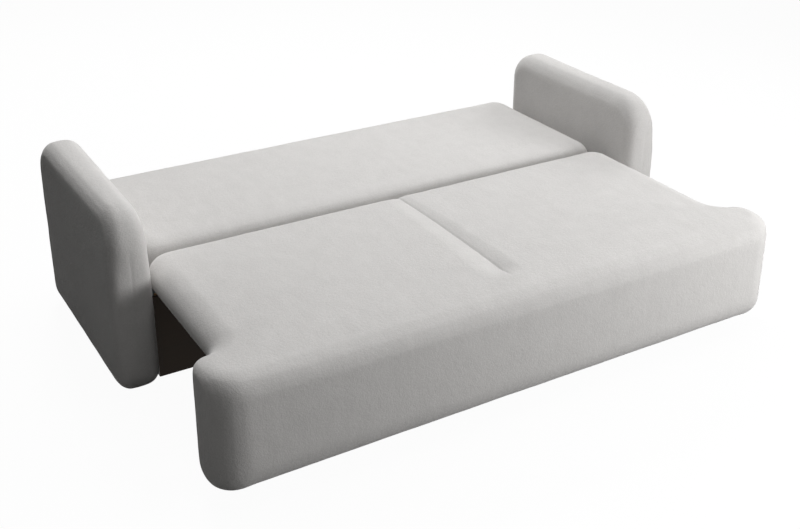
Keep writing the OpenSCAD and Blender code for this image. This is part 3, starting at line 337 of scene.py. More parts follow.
# The arms' covers: velour sewn over a boxed board frame that is padded with foam and wadding. Each
# is one firm, well rounded slab with a faintly uneven skin. Its sides lean in towards the front top
# corner, where the wadding thins out, and a seam down the front closes it.
arm_low, arm_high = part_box("arm_cover_right")
ARM_EDGE = 59 * MM
ARM_LOW_CORNER = 67 * MM
ARM_REAR_CORNER = 120 * MM
ARM_FRONT_CORNER = 136 * MM
ARM_SEAM_DEPTH = 1.2 * MM
ARM_SEAM_WIDTH = 4 * MM
ARM_SEAM_HEIGHTS = (0.10, 0.55)
ARM_SEAM_FADE = 0.06
ARM_FRONT_DEPTH = 0.05
ARM_LEAN_INNER = 8 * MM
ARM_LEAN_OUTER = 25 * MM
ARM_LEAN_START = 0.34
ARM_LEAN_REAR = 0.9
ARM_CRISPNESS = 2.5
ARM_CRISP_TOP = 0.55
ARM_CRISP_FADE = 0.1
ARM_SEAT_GAP = 1 * MM
ARM_FILL = 0.9
CORNER_STEPS = 16
RIM_STEPS = 14
LEVEL_TOLERANCE = 1e-6
NEVER_ZERO = 1e-6
RUB_IN_AND_OUT = (0.5, -0.52)
PAD_CELL = 12 * MM
PAD_RUBS = 4
FILLING_PRESSURE = 2.0
FILLING_FRAMES = 20
FILLING_LIMIT = 4 * MM
WADDING_BUMPS = ((0.9 * MM, 0.16), (0.35 * MM, 0.05))
SEED_STEPS = (7.31, 3.17, 5.73)
CLEARANCE = 0.3 * MM


def put(shape, name):
    """A finished bmesh as an object at the origin."""
    mesh = bpy.data.meshes.new(name)
    shape.to_mesh(mesh)
    shape.free()
    piece = bpy.data.objects.new(name, mesh)
    scene.collection.objects.link(piece)
    return piece


def rounded_plate(corners, place):
    """A thin plate from its corners, each with its own radius. place turns (u, v) into a point."""
    shape = bmesh.new()
    shape.faces.new([shape.verts.new(place(*spot)) for spot, radius in corners])
    shape.verts.ensure_lookup_table()
    tips = list(shape.verts)
    for tip, (spot, radius) in zip(tips, corners):
        bmesh.ops.bevel(shape, geom=[tip], offset=radius, offset_type="OFFSET", affect="VERTICES",
                        segments=CORNER_STEPS, profile=0.5, material=-1, clamp_overlap=False)
    return shape


def thicken(shape, step):
    """Pulls the plate out into a slab and leaves its normals pointing outwards."""
    grown = bmesh.ops.extrude_face_region(shape, geom=list(shape.faces), use_keep_orig=True)
    moved = [v for v in grown["geom"] if isinstance(v, bmesh.types.BMVert)]
    bmesh.ops.translate(shape, verts=moved, vec=step)
    bmesh.ops.recalc_face_normals(shape, faces=shape.faces)


def round_rim(shape, axis, level, radius):
    """Rounds the rim that lies at one level along an axis."""
    rim = [e for e in shape.edges if all(abs(v.co[axis] - level) < LEVEL_TOLERANCE for v in e.verts)]
    bmesh.ops.bevel(shape, geom=rim, offset=radius, offset_type="OFFSET", affect="EDGES",
                    segments=RIM_STEPS, profile=0.5, material=-1, clamp_overlap=False)


def settle(piece):
    """Makes a piece's modifiers part of its mesh."""
    bpy.context.view_layer.update()
    settled = bpy.data.meshes.new_from_object(piece.evaluated_get(bpy.context.evaluated_depsgraph_get()))
    piece.modifiers.clear()
    piece.data = settled


def even_mesh(piece, cell):
    """Turns the skin into even squares of one size, so that cloth and wrinkles move it alike."""
    remesh = piece.modifiers.new("even", "REMESH")
    remesh.mode = "VOXEL"
    remesh.voxel_size = cell
    settle(piece)


def smooth(piece, rounds):
    """Rubs the skin smooth. Each rub in is followed by a slightly stronger one out, so that the
    piece keeps its size."""
    shape = bmesh.new()
    shape.from_mesh(piece.data)
    for _ in range(rounds):
        for factor in RUB_IN_AND_OUT:
            bmesh.ops.smooth_vert(shape, verts=shape.verts, factor=factor,
                                  use_axis_x=True, use_axis_y=True, use_axis_z=True)
    shape.to_mesh(piece.data)
    shape.free()


def points_of(piece):
    """The places of a piece's points, as an array."""
    co = np.empty(len(piece.data.vertices) * 3, np.float32)
    piece.data.vertices.foreach_get("co", co)
    return co.reshape(-1, 3).astype(np.float64)


def normals_of(piece):
    """The directions that a piece's skin faces at its points, as an array."""
    directions = np.empty(len(piece.data.vertices) * 3, np.float32)
    piece.data.vertices.foreach_get("normal", directions)
    return directions.reshape(-1, 3).astype(np.float64)


def move_points(piece, points):
    """Moves a piece's points to new places."""
    piece.data.vertices.foreach_set("co", points.astype(np.float32).ravel())
    piece.data.update()


def puff(piece, held=None):
    """Fills the cover from inside as cloth. Where its farthest point would go past the limit, the
    whole swelling is scaled down to it."""
    before = points_of(piece)
    cloth = piece.modifiers.new("filling", "CLOTH")
    cloth.settings.quality = 5
    cloth.settings.mass = 0.3
    cloth.settings.tension_stiffness = 20
    cloth.settings.compression_stiffness = 20
    cloth.settings.shear_stiffness = 10
    cloth.settings.bending_stiffness = 1.5
    cloth.settings.use_pressure = True
    cloth.settings.uniform_pressure_force = FILLING_PRESSURE
    cloth.settings.effector_weights.gravity = 0
    cloth.collision_settings.use_collision = False
    if held is not None:
        group = piece.vertex_groups.new(name="held")
        group.add([int(i) for i in np.nonzero(held(before))[0]], 1.0, "REPLACE")
        cloth.settings.vertex_group_mass = "held"
    for step in range(1, FILLING_FRAMES + 1):
        scene.frame_set(step)
    settle(piece)
    piece.vertex_groups.clear()
    scene.frame_set(1)
    shift = points_of(piece) - before
    farthest = np.linalg.norm(shift, axis=1).max()
    move_points(piece, before + shift * min(1, FILLING_LIMIT / max(farthest, NEVER_ZERO)))


def finer(piece):
    """One round of subdivision, made part of the mesh."""
    subdivision = piece.modifiers.new("finer", "SUBSURF")
    subdivision.levels = 1
    subdivision.render_levels = 1
    settle(piece)


def unevenness(points, size, seed):
    """Smooth random heights from -1 to 1, with bumps of about the given size."""
    offset = Vector([seed * step for step in SEED_STEPS])
    return np.array([noise.noise(Vector(p) / size + offset) for p in points])


def soften_surface(piece, seed):
    """Lets the skin rise and fall a little, as wadding does under pile."""
    points = points_of(piece)
    swell = sum(height * unevenness(points, size, seed + i) for i, (height, size) in enumerate(WADDING_BUMPS))
    move_points(piece, points + normals_of(piece) * swell[:, None])


def shade_smooth(piece):
    """Shades a piece as one smooth skin."""
    piece.data.polygons.foreach_set("use_smooth", [True] * len(piece.data.polygons))


def add_box(shape, low, high):
    """Adds a box to a bmesh."""
    for v in bmesh.ops.create_cube(shape, size=1)["verts"]:
        v.co = [low[i] if v.co[i] < 0 else high[i] for i in range(3)]


def cut_hollow(piece, boxes):
    """Cuts the room for the frame, the tracks or the castors out of a padded piece."""
    for low, high in boxes:
        block = bmesh.new()
        add_box(block, low, high)
        cutter = put(block, "cutter")
        cut = piece.modifiers.new("cut", "BOOLEAN")
        cut.operation = "DIFFERENCE"
        cut.solver = "MANIFOLD"
        cut.object = cutter
        settle(piece)
        bpy.data.objects.remove(cutter)


def finish_pad(pad, material, body, slot_name, fill_share, *nodes):
    """Gives a padded piece its finish and its body, and hides the CAD nodes that it stands for."""
    shade_smooth(pad)
    pad.data.materials.clear()
    pad.data.materials.append(material)
    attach(pad, body)
    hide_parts(*nodes)


# Velour: a dense polyester pile, sheared short and brushed one way. It is matt, lightens where the
# pile is seen edge on, and lies in small crushed tufts, with faint clouds where hands have turned it
# and streaks where it was brushed. The pile's own grain is finer than a pixel, so it is drawn several
# times as coarse as it is.
VELOUR_BASE = "#D6D4D2"
VELOUR_SHADE = "#C6C4C2"
VELOUR_GRAIN = 4.0 * MM
VELOUR_TUFT = 11 * MM
VELOUR_CLOUD = 75 * MM
VELOUR_STREAK = 30 * MM
VELOUR_STREAK_RUN = 140 * MM
VELOUR_CLOUD_SHARE = 0.5
VELOUR_STREAK_SHARE = 0.3
VELOUR_GRAIN_SHARE = 0.4
velour = bpy.data.materials.new("brushed velour")
velour.use_nodes = True
tree = velour.node_tree
pile = tree.nodes["Principled BSDF"]
pile.inputs["Roughness"].default_value = 0.95
pile.inputs["Specular IOR Level"].default_value = 0.15
pile.inputs["Sheen Weight"].default_value = 0.2
pile.inputs["Sheen Roughness"].default_value = 0.5
where = add(tree, "ShaderNodeTexCoord").outputs["Object"]
grain = add(tree, "ShaderNodeTexNoise", {"Vector": where, "Scale": 1 / VELOUR_GRAIN, "Detail": 2.0})
clouds = add(tree, "ShaderNodeTexNoise", {"Vector": where, "Scale": 1 / VELOUR_CLOUD, "Detail": 5.0,
                                          "Roughness": 0.65})
run = add(tree, "ShaderNodeMapping", {"Vector": where, "Scale": (1 / VELOUR_STREAK, 1 / VELOUR_STREAK_RUN,
                                                                   1 / VELOUR_STREAK_RUN)})
brushed = add(tree, "ShaderNodeTexNoise", {"Vector": run.outputs[0], "Scale": 1.0, "Detail": 3.0})
nap_tone = add(tree, "ShaderNodeMath", {0: clouds.outputs["Fac"], 1: VELOUR_CLOUD_SHARE,
                                        2: grain.outputs["Fac"]}, operation="MULTIPLY_ADD")
worn_tone = add(tree, "ShaderNodeMath", {0: brushed.outputs["Fac"], 1: VELOUR_STREAK_SHARE,
                                         2: nap_tone.outputs[0]}, operation="MULTIPLY_ADD")
amount = add(tree, "ShaderNodeMapRange", {"Value": worn_tone.outputs[0], "From Min": 0.55, "From Max": 1.25})
tone = add(tree, "ShaderNodeMix", {0: amount.outputs[0], 6: linear(VELOUR_SHADE), 7: linear(VELOUR_BASE)},
           data_type="RGBA")
tree.links.new(tone.outputs[2], pile.inputs["Base Color"])
tufts = add(tree, "ShaderNodeTexNoise", {"Vector": where, "Scale": 1 / VELOUR_TUFT, "Detail": 3.0,
                                         "Roughness": 0.7})
lie = add(tree, "ShaderNodeMath", {0: grain.outputs["Fac"], 1: VELOUR_GRAIN_SHARE,
                                   2: tufts.outputs["Fac"]}, operation="MULTIPLY_ADD")
nap = add(tree, "ShaderNodeBump", {"Height": lie.outputs[0], "Strength": 0.8, "Distance": 1.5 * MM})
tree.links.new(nap.outputs["Normal"], pile.inputs["Normal"])

track_low, track_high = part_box("track_plate_right")
for side, name in ((-1, "arm_cover_left"), (1, "arm_cover_right")):
    arm_corners = [((arm_low.y, arm_low.z), ARM_LOW_CORNER), ((arm_high.y, arm_low.z), ARM_LOW_CORNER),
                   ((arm_high.y, arm_high.z), ARM_REAR_CORNER), ((arm_low.y, arm_high.z), ARM_FRONT_CORNER)]
    inner, outer = side * arm_low.x, side * arm_high.x
    middle, half = (inner + outer) / 2, (arm_high.x - arm_low.x) / 2
    arm_shape = rounded_plate(arm_corners, lambda y, z: (inner, y, z))
    thicken(arm_shape, (outer - inner, 0, 0))
    round_rim(arm_shape, 0, inner, ARM_EDGE)
    round_rim(arm_shape, 0, outer, ARM_EDGE)
    arm = put(arm_shape, name.replace("cover", "padding"))
    even_mesh(arm, PAD_CELL)
    smooth(arm, PAD_RUBS)
    puff(arm)
    finer(arm)
    soften_surface(arm, seed=3 + side)

    # The cover's two front edges are drawn crisper from the seat's level down.
    points = points_of(arm)
    across = side * (points[:, 0] - middle)
    round_across = np.maximum(np.abs(across) - half + ARM_EDGE, 0) / ARM_EDGE
    round_along = np.maximum(arm_low.y + ARM_EDGE - points[:, 1], 0) / ARM_EDGE
    squarer = (round_across ** ARM_CRISPNESS + round_along ** ARM_CRISPNESS) ** (1 / ARM_CRISPNESS)
    crisper = np.hypot(round_across, round_along) / np.maximum(squarer, NEVER_ZERO) - 1
    low_down = np.clip((ARM_CRISP_TOP - points[:, 2]) / ARM_CRISP_FADE, 0, 1)
    crisper *= (round_across > 0) * (round_along > 0) * low_down
    points[:, 0] += side * np.sign(across) * ARM_EDGE * round_across * crisper
    points[:, 1] -= ARM_EDGE * round_along * crisper

    # Both sides lean in towards the arm's middle, and the seam is sewn down the front.
    up = np.clip((points[:, 2] - ARM_LEAN_START) / (arm_high.z - ARM_LEAN_START), 0, 1)
    forward = np.clip((ARM_LEAN_REAR - points[:, 1]) / (ARM_LEAN_REAR - arm_low.y), 0, 1)
    outward = np.clip(across / half, -1, 1)
    lean = np.where(outward > 0, ARM_LEAN_OUTER, ARM_LEAN_INNER) * outward
    points[:, 0] -= side * lean * up ** 2 * forward
    off_seam = np.abs(points[:, 0] - middle) / ARM_SEAM_WIDTH
    up_seam = np.clip((ARM_SEAM_HEIGHTS[1] - points[:, 2]) / ARM_SEAM_FADE, 0, 1)
    up_seam *= points[:, 2] > ARM_SEAM_HEIGHTS[0]
    on_front = points[:, 1] < arm_low.y + ARM_FRONT_DEPTH
    points[:, 1] += ARM_SEAM_DEPTH * np.exp(-off_seam ** 2) * up_seam * on_front
    points[:, 0] = side * np.clip(side * points[:, 0], arm_low.x + ARM_SEAT_GAP, None)
    move_points(arm, points)
    room = sorted((side * (track_low.x - CLEARANCE), side * (track_high.x + CLEARANCE)))
    cut_hollow(arm, [((room[0], track_low.y - CLEARANCE, track_low.z - CLEARANCE),
                      (room[1], track_high.y + CLEARANCE, track_high.z + CLEARANCE))])
    finish_pad(arm, velour, "base", "velour", ARM_FILL, name)

# The felt pads on the base's front and rear boards, which the seat glides over and the back
# rests on: strips of needled wool felt, cut from a roll and glued down.
FELT_LIGHT = "#97928A"
FELT_DARK = "#77736C"
FELT_FIBRE = 1.0 * MM
FELT_BLEND = 12 * MM
FELT_STRIP_EDGE = 1.4 * MM
FELT_STRIP_SECTIONS = (24, 2, 1)
FELT_STRIP_BUMP = 0.35 * MM
BLOCK_EDGE_STEPS = 3
BLOCK_BUMP_SIZE = 0.09
SOLID_FILL = 1.0
WELD = 0.02 * MM
felt = bpy.data.materials.new("needled wool felt")
felt.use_nodes = True
tree = felt.node_tree
wool = tree.nodes["Principled BSDF"]
wool.inputs["Roughness"].default_value = 1.0
wool.inputs["Specular IOR Level"].default_value = 0.1
wool.inputs["Sheen Weight"].default_value = 0.3
where = add(tree, "ShaderNodeTexCoord").outputs["Object"]
fibres = add(tree, "ShaderNodeTexNoise", {"Vector": where, "Scale": 1 / FELT_FIBRE, "Detail": 4.0,
                                          "Distortion": 1.5})
blend = add(tree, "ShaderNodeTexNoise", {"Vector": where, "Scale": 1 / FELT_BLEND, "Detail": 3.0})
both = add(tree, "ShaderNodeMath", {0: fibres.outputs["Fac"], 1: blend.outputs["Fac"]}, operation="MULTIPLY")
amount = add(tree, "ShaderNodeMapRange", {"Value": both.outputs[0], "From Min": 0.12, "From Max": 0.4})
tone = add(tree, "ShaderNodeMix", {0: amount.outputs[0], 6: linear(FELT_DARK), 7: linear(FELT_LIGHT)},
           data_type="RGBA")
tree.links.new(tone.outputs[2], wool.inputs["Base Color"])
tangle = add(tree, "ShaderNodeBump", {"Height": fibres.outputs["Fac"], "Strength": 0.6,
                                      "Distance": 0.3 * MM})
tree.links.new(tangle.outputs[0], wool.inputs["Normal"])


def soft_block(name, low, high, edge, sections, seed, bump):
    """A block of felt or foam that fills a box, with soft edges and a slightly uneven top."""
    block = bmesh.new()
    add_box(block, low, high)
    bmesh.ops.bevel(block, geom=list(block.edges), offset=edge, offset_type="OFFSET", affect="EDGES",
                    segments=BLOCK_EDGE_STEPS, profile=0.5, material=-1)
    for axis, count in enumerate(sections):
        for i in range(1, count):
            level = low[axis] + (high[axis] - low[axis]) * i / count
            cut_at = [level if k == axis else 0 for k in range(3)]
            facing = [1 if k == axis else 0 for k in range(3)]
            bmesh.ops.bisect_plane(block, geom=block.verts[:] + block.edges[:] + block.faces[:],
                                   plane_co=cut_at, plane_no=facing)
    middle = (low[2] + high[2]) / 2
    for v in block.verts:
        if v.co.z > middle:
            height = noise.noise(v.co / BLOCK_BUMP_SIZE + Vector((seed, 0, 0)))
            v.co.z -= bump * (0.5 + 0.5 * height)
    return put(block, name)


def boxes_of(node):
    """The lowest and highest corners of each separate solid of a CAD node made of boxes."""
    copy = bmesh.new()
    copy.from_mesh(parts[node].data)
    bmesh.ops.remove_doubles(copy, verts=copy.verts, dist=WELD)
    waiting = set(copy.verts)
    found = []
    while waiting:
        group = set()
        reached = [min(waiting, key=lambda v: v.index)]
        while reached:
            v = reached.pop()
            if v not in group:
                group.add(v)
                reached += [e.other_vert(v) for e in v.link_edges]
        waiting -= group
        found.append(tuple(Vector([pick(v.co[i] for v in group) for i in range(3)]) for pick in (min, max)))
    copy.free()
    return sorted(found, key=lambda pair: tuple(pair[0]))


for node, piece_name in (("rest_pads", "rest_felt"), ("front_glides", "glide_felt")):
    for number, (low, high) in enumerate(boxes_of(node), 1):
        strip = soft_block(f"{piece_name}_{number}", low, high, FELT_STRIP_EDGE, FELT_STRIP_SECTIONS,
                           seed=number, bump=FELT_STRIP_BUMP)
        finish_pad(strip, felt, "base", "felt", SOLID_FILL, node)

# The front panel's frame: two plywood boards over spruce rails and ribs, glued and screwed into a
# box, and bolted to the seat's front rail through the rear board.
dress(plywood["Y"], "fascia_front_board", "fascia_rear_board")
dress(plywood["X"], "fascia_ribs")
dress(spruce["X"], "fascia_rails")
dress(zinc, "fascia_bolts")

# The castors under the front panel: zinc plated forks with riveted axles, and wheels moulded in
# black polyamide.
dress(zinc, "castor_brackets", "castor_axles")
dress(polyamide, "castor_wheels")

# The seat's frame: spruce rails, dowelled and glued, with zigzag springs of drawn steel wire
# stretched between the front and rear rails and held by pressed clips.
dress(spruce["X"], "seat_front_rail", "seat_rear_rail")
dress(spruce["Y"], "seat_side_rails", "seat_cross_rails")
SPRING_STEEL = "#6E7175"
SPRING_SCALE = "#4F5154"
SCALE_PATCH = 5 * MM
wire = bpy.data.materials.new("patented spring steel wire")
wire.use_nodes = True
tree = wire.node_tree
metal = tree.nodes["Principled BSDF"]
metal.inputs["Metallic"].default_value = 1.0
metal.inputs["Roughness"].default_value = 0.4
where = add(tree, "ShaderNodeTexCoord").outputs["Object"]
scale_film = add(tree, "ShaderNodeTexNoise", {"Vector": where, "Scale": 1 / SCALE_PATCH, "Detail": 4.0})
tone = add(tree, "ShaderNodeMix", {0: scale_film.outputs["Fac"], 6: linear(SPRING_STEEL),
                                   7: linear(SPRING_SCALE)}, data_type="RGBA")
tree.links.new(tone.outputs[2], metal.inputs["Base Color"])
drawn = add(tree, "ShaderNodeBump", {"Height": scale_film.outputs["Fac"], "Strength": 0.2,
                                     "Distance": 0.05 * MM})
tree.links.new(drawn.outputs[0], metal.inputs["Normal"])
dress(wire, "seat_springs")
dress(zinc, "seat_spring_clips")

# The felt over the springs: one sheet stapled along the rails, which keeps the wires from cutting
# into the foam. It dips a little between the springs.
SHEET_STEPS = (90, 30)
SHEET_RIPPLE_SIZE = 0.07
SPRING_FELT = 1.8 * MM
SPRING_FELT_SAG = 0.2 * MM
SPRING_FELT_RIPPLE = 0.15 * MM


def cloth_panel(name, low, high, thickness, sag, ripple, seed):
    """A stretched sheet between two corners, which sags towards its middle and ripples a little."""
    panel = bmesh.new()
    width, length = high[0] - low[0], high[1] - low[1]
    bmesh.ops.create_grid(panel, x_segments=SHEET_STEPS[0], y_segments=SHEET_STEPS[1], size=0.5)
    for v in panel.verts:
        hang = sag * (1 - (2 * v.co.x) ** 2) * (1 - (2 * v.co.y) ** 2)
        wave = ripple * noise.noise(Vector((v.co.x * width, v.co.y * length, seed)) / SHEET_RIPPLE_SIZE)
        v.co = [(low[0] + high[0]) / 2 + v.co.x * width, (low[1] + high[1]) / 2 + v.co.y * length,
                high[2] - thickness - ripple - hang + wave]
    bmesh.ops.solidify(panel, geom=list(panel.faces), thickness=-thickness)
    bmesh.ops.recalc_face_normals(panel, faces=panel.faces)
    return put(panel, name)


def lay_spring_felt(body, node, seed):
    """The sheet of felt over the springs of the seat or the back section."""
    low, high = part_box(node)
    sheet = cloth_panel(body + "_spring_felt", low, high, SPRING_FELT, SPRING_FELT_SAG,
                        SPRING_FELT_RIPPLE, seed)
    sheet.data.materials.append(felt)
    shade_smooth(sheet)
    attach(sheet, body)
    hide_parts(node)


lay_spring_felt("seat", "seat_felt", seed=3)

# The lining under the seat: black spunbond cloth, point bonded, stapled round the window under the
# springs. The bonding points are 1.5 mm apart on the real cloth, and drawn at 3 mm.
SPUNBOND = "#242528"
SPUNBOND_POINT = "#18191B"
BOND_SPACING = 3 * MM
SPUN_THREAD = 1.2 * MM
SPUN_THREAD_SHARE = 0.3
LINING = 0.5 * MM
LINING_SAG = 0.5 * MM
LINING_RIPPLE = 0.1 * MM
spunbond = bpy.data.materials.new("black spunbond lining")
spunbond.use_nodes = True
tree = spunbond.node_tree
web = tree.nodes["Principled BSDF"]
web.inputs["Roughness"].default_value = 0.7
web.inputs["Specular IOR Level"].default_value = 0.3
where = add(tree, "ShaderNodeTexCoord").outputs["Object"]
points_at = add(tree, "ShaderNodeTexVoronoi", {"Vector": where, "Scale": 1 / BOND_SPACING,
                                               "Randomness": 0.15})
pressed = add(tree, "ShaderNodeMapRange", {"Value": points_at.outputs["Distance"], "From Min": 0.2,
                                           "From Max": 0.45})
threads = add(tree, "ShaderNodeTexNoise", {"Vector": where, "Scale": 1 / SPUN_THREAD, "Detail": 3.0,
                                           "Distortion": 2.0})
height = add(tree, "ShaderNodeMath", {0: threads.outputs["Fac"], 1: SPUN_THREAD_SHARE,
                                      2: pressed.outputs[0]}, operation="MULTIPLY_ADD")
tone = add(tree, "ShaderNodeMix", {0: pressed.outputs[0], 6: linear(SPUNBOND_POINT), 7: linear(SPUNBOND)},
           data_type="RGBA")
tree.links.new(tone.outputs[2], web.inputs["Base Color"])
bonded = add(tree, "ShaderNodeBump", {"Height": height.outputs[0], "Strength": 0.5, "Distance": 0.2 * MM})
tree.links.new(bonded.outputs[0], web.inputs["Normal"])


def staple_lining(body, node, seed):
    """The lining cloth under the springs of the seat or the back section."""
    low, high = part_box(node)
    sheet = cloth_panel(body + "_lining_cloth", low, high, LINING, LINING_SAG, LINING_RIPPLE, seed)
    sheet.data.materials.append(spunbond)
    shade_smooth(sheet)
    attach(sheet, body)
    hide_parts(node)


staple_lining("seat", "seat_lining", seed=5)

# The seat's foam: one block of cream polyurethane, cut from a bun, with open cells on its faces.
FOAM = "#EADFB6"
FOAM_PIT_PAINTED_SHADE = "#CFC08E"
FOAM_CELL = 2.0 * MM
FOAM_SAW_MARK = 30 * MM
FOAM_EDGE = 5 * MM
FOAM_SECTIONS = (30, 10, 1)
FOAM_BUMP = 1.0 * MM
foam = bpy.data.materials.new("cut polyurethane foam")
foam.use_nodes = True
tree = foam.node_tree
cells = tree.nodes["Principled BSDF"]
cells.inputs["Roughness"].default_value = 0.9
cells.inputs["Specular IOR Level"].default_value = 0.2
where = add(tree, "ShaderNodeTexCoord").outputs["Object"]
pits = add(tree, "ShaderNodeTexVoronoi", {"Vector": where, "Scale": 1 / FOAM_CELL})
saw_marks = add(tree, "ShaderNodeTexNoise", {"Vector": where, "Scale": 1 / FOAM_SAW_MARK,
                                             "Detail": 3.0})
both = add(tree, "ShaderNodeMath", {0: pits.outputs["Distance"], 1: saw_marks.outputs["Fac"]},
           operation="ADD")
amount = add(tree, "ShaderNodeMapRange", {"Value": both.outputs[0], "From Min": 0.6, "From Max": 1.5})
# Painted shade: the foam is coloured darker where its open cells lie deepest, mixed with the saw marks'
# random tone.
tone = add(tree, "ShaderNodeMix", {0: amount.outputs[0], 6: linear(FOAM), 7: linear(FOAM_PIT_PAINTED_SHADE)},
           data_type="RGBA")
tree.links.new(tone.outputs[2], cells.inputs["Base Color"])
open_cells = add(tree, "ShaderNodeBump", {"Height": pits.outputs["Distance"], "Strength": 0.5,
                                          "Distance": 0.6 * MM}, invert=True)
tree.links.new(open_cells.outputs[0], cells.inputs["Normal"])
seat_low, seat_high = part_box("seat_foam")
seat_core = soft_block("seat_foam_core", seat_low, seat_high, FOAM_EDGE, FOAM_SECTIONS,
                       seed=7, bump=FOAM_BUMP)
finish_pad(seat_core, foam, "seat", "foam", SOLID_FILL, "seat_foam")

# The draw bars that pull the seat out and guide it: flat steel arms riveted to brackets under the
# seat's rear rail, each with a roller of black polyamide on a shouldered axle.
dress(zinc, "draw_bars", "draw_bar_brackets", "draw_bar_bolts", "seat_bracket_screws", "roller_axles")
dress(polyamide, "track_rollers")

# The seat's cover: one velour skin over the slab and the front panel, which flow into each other
# over the wings. It starts as the form that the frame is built for, is evened out and filled, and
# a tuck is sewn into its middle, deepest at its front end, past which the fold runs out softly.
seat_cover_low, seat_cover_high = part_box("seat_cover")
rail_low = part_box("seat_front_rail")[0]
lining_low, lining_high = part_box("seat_lining")
panel_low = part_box("fascia_front_board")[0]
panel_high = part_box("fascia_rear_board")[1]
castor_low, castor_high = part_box("castor_wheels")
CASTOR_PLACES = (-0.9, -0.3, 0.3, 0.9)
POCKET_HALF = 18 * MM
POCKET_REACH = 30 * MM
HOLLOW_OVERLAP = 1 * MM
WINDOW_OVERLAP = 2 * MM
UNDER_THE_SLABS = 0.30
ON_THE_FLOOR = 0.0
FRAME_MARGIN = 3 * MM
SEAT_CELL = 13 * MM
SEAT_RUBS = 8
SEAT_LAST_RUBS = 2
HELD_BELOW = 0.36
HELD_BEHIND = -0.55
SLAB_FILL = 0.85
SIDE_LIMIT = 1002 * MM
WING_CURVE = 0.13
LEFT_END_TIGHTER = 30 * MM
LEFT_END_START = 0.98
LEFT_END_FADE = 0.08
LEFT_END_MIDDLE = -0.64
LEFT_END_REACH = 0.13
LEFT_END_LOW = 0.30
LEFT_END_EDGE_SHARE = 0.15
RIGHT_END_LOW = 125 * MM
RIGHT_END_POWER = 1.7
FALL_START = -0.63
FALL_RUN = 0.15
FALL_ENDS = (0.75, 1.06)
FALL_LOW = 0.34
FALL_FADE = 0.08
FALL = 14 * MM
TUCK_FRONT = -0.605
TUCK_RUN_OUT = 0.085
TUCK_PATCH = 0.1
TUCK_FACING_UP = 0.3
TUCK_SNAP = SEAT_CELL / 8
TUCK_BANK_POWER = 1.5
TUCK_DEPTHS = (5 * MM, 12 * MM)
TUCK_HALF_WIDTHS = (36 * MM, 62 * MM)
TUCK_LEFT_SPREAD = 1.5
TUCK_STITCH_DEPTH = 2.5 * MM
TUCK_STITCH_WIDTH = 4 * MM
TOP_BAND = 30 * MM
GROOVE_TOP_BAND = 25 * MM
GROOVE_SIDES = (62 * MM, 95 * MM)
GROOVE_FRONT_MARGIN = 0.09
GROOVE_REAR_MARGIN = 0.03


def seat_hollows(extra, window_z, pocket_z):
    """Boxes for the two frames, the window under the springs and the castors' pockets."""
    e = Vector((extra, extra, extra))
    level = Vector((extra, extra, min(extra, HOLLOW_OVERLAP)))
    boxes = [(panel_low - e, panel_high + e),
             (Vector((seat_low.x, seat_low.y, rail_low.z)) - level, seat_high + e),
             ((lining_low.x - e.x, lining_low.y - e.y, window_z),
              (lining_high.x + e.x, lining_high.y + e.y, rail_low.z + WINDOW_OVERLAP))]
    y = (castor_low.y + castor_high.y) / 2
    for x in CASTOR_PLACES:
        boxes.append(((x - POCKET_HALF - e.x, y - POCKET_REACH - e.y, pocket_z),
                      (x + POCKET_HALF + e.x, y + POCKET_REACH + e.y, panel_low.z + HOLLOW_OVERLAP)))
    return boxes


seat_shape = bmesh.new()
seat_shape.from_mesh(parts["seat_cover"].data)
bmesh.ops.remove_doubles(seat_shape, verts=seat_shape.verts, dist=WELD)
for low, high in seat_hollows(FRAME_MARGIN, lining_low.z, seat_cover_low.z):
    add_box(seat_shape, low, high)
seat = put(seat_shape, "seat_padding")
even_mesh(seat, SEAT_CELL)

# The CAD solid's plain groove is filled before the tuck is sewn in, so that the skin starts whole.
points = points_of(seat)
on_top = points[:, 2] > seat_cover_high.z - GROOVE_TOP_BAND
on_top &= points[:, 1] > TUCK_FRONT - GROOVE_FRONT_MARGIN
beside = on_top & (np.abs(points[:, 0]) > GROOVE_SIDES[0]) & (np.abs(points[:, 0]) < GROOVE_SIDES[1])
in_groove = on_top & (np.abs(points[:, 0]) <= GROOVE_SIDES[0])
in_groove &= points[:, 1] < seat_cover_high.y - GROOVE_REAR_MARGIN
order = np.argsort(points[beside, 1])
points[in_groove, 2] = np.interp(points[in_groove, 1], points[beside, 1][order], points[beside, 2][order])
move_points(seat, points)
smooth(seat, SEAT_RUBS)
puff(seat, held=lambda p: (p[:, 2] < HELD_BELOW) & (p[:, 1] > HELD_BEHIND))

# The cover sits differently at its two ends: it is pulled tight over the left wing's upper edge,
# and is rounder at the right end's lower edge. Its top falls a little towards the front.
points = points_of(seat)
normals = normals_of(seat)
end_weight = np.clip((-points[:, 0] - LEFT_END_START) / LEFT_END_FADE, 0, 1)
end_weight *= np.clip(1 - np.abs(points[:, 1] - LEFT_END_MIDDLE) / LEFT_END_REACH, 0, 1)
height_weight = np.clip((points[:, 2] - LEFT_END_LOW) / LEFT_END_FADE, 0, 1)
level_part = np.hypot(normals[:, 0], normals[:, 1])
outward = normals[:, :2] / np.maximum(level_part, NEVER_ZERO)[:, None]
tighten = LEFT_END_TIGHTER * end_weight * height_weight
on_edge = np.clip(np.minimum(level_part, normals[:, 2]) / LEFT_END_EDGE_SHARE, 0, 1)
points[:, :2] += outward * (tighten * (1 - level_part) * on_edge)[:, None]
points[:, 2] += tighten * (1 - np.clip(normals[:, 2], 0, 1)) * on_edge
end_centre = (seat_cover_high.x - RIGHT_END_LOW, seat_cover_low.z + RIGHT_END_LOW)
out = np.maximum(points[:, 0] - end_centre[0], 0)
down = np.maximum(end_centre[1] - points[:, 2], 0)
reach = (out ** RIGHT_END_POWER + down ** RIGHT_END_POWER) ** (1 / RIGHT_END_POWER)
inwards = np.minimum(1, RIGHT_END_LOW / np.maximum(reach, NEVER_ZERO))
pull = np.where((out > 0) & (down > 0), inwards, 1)
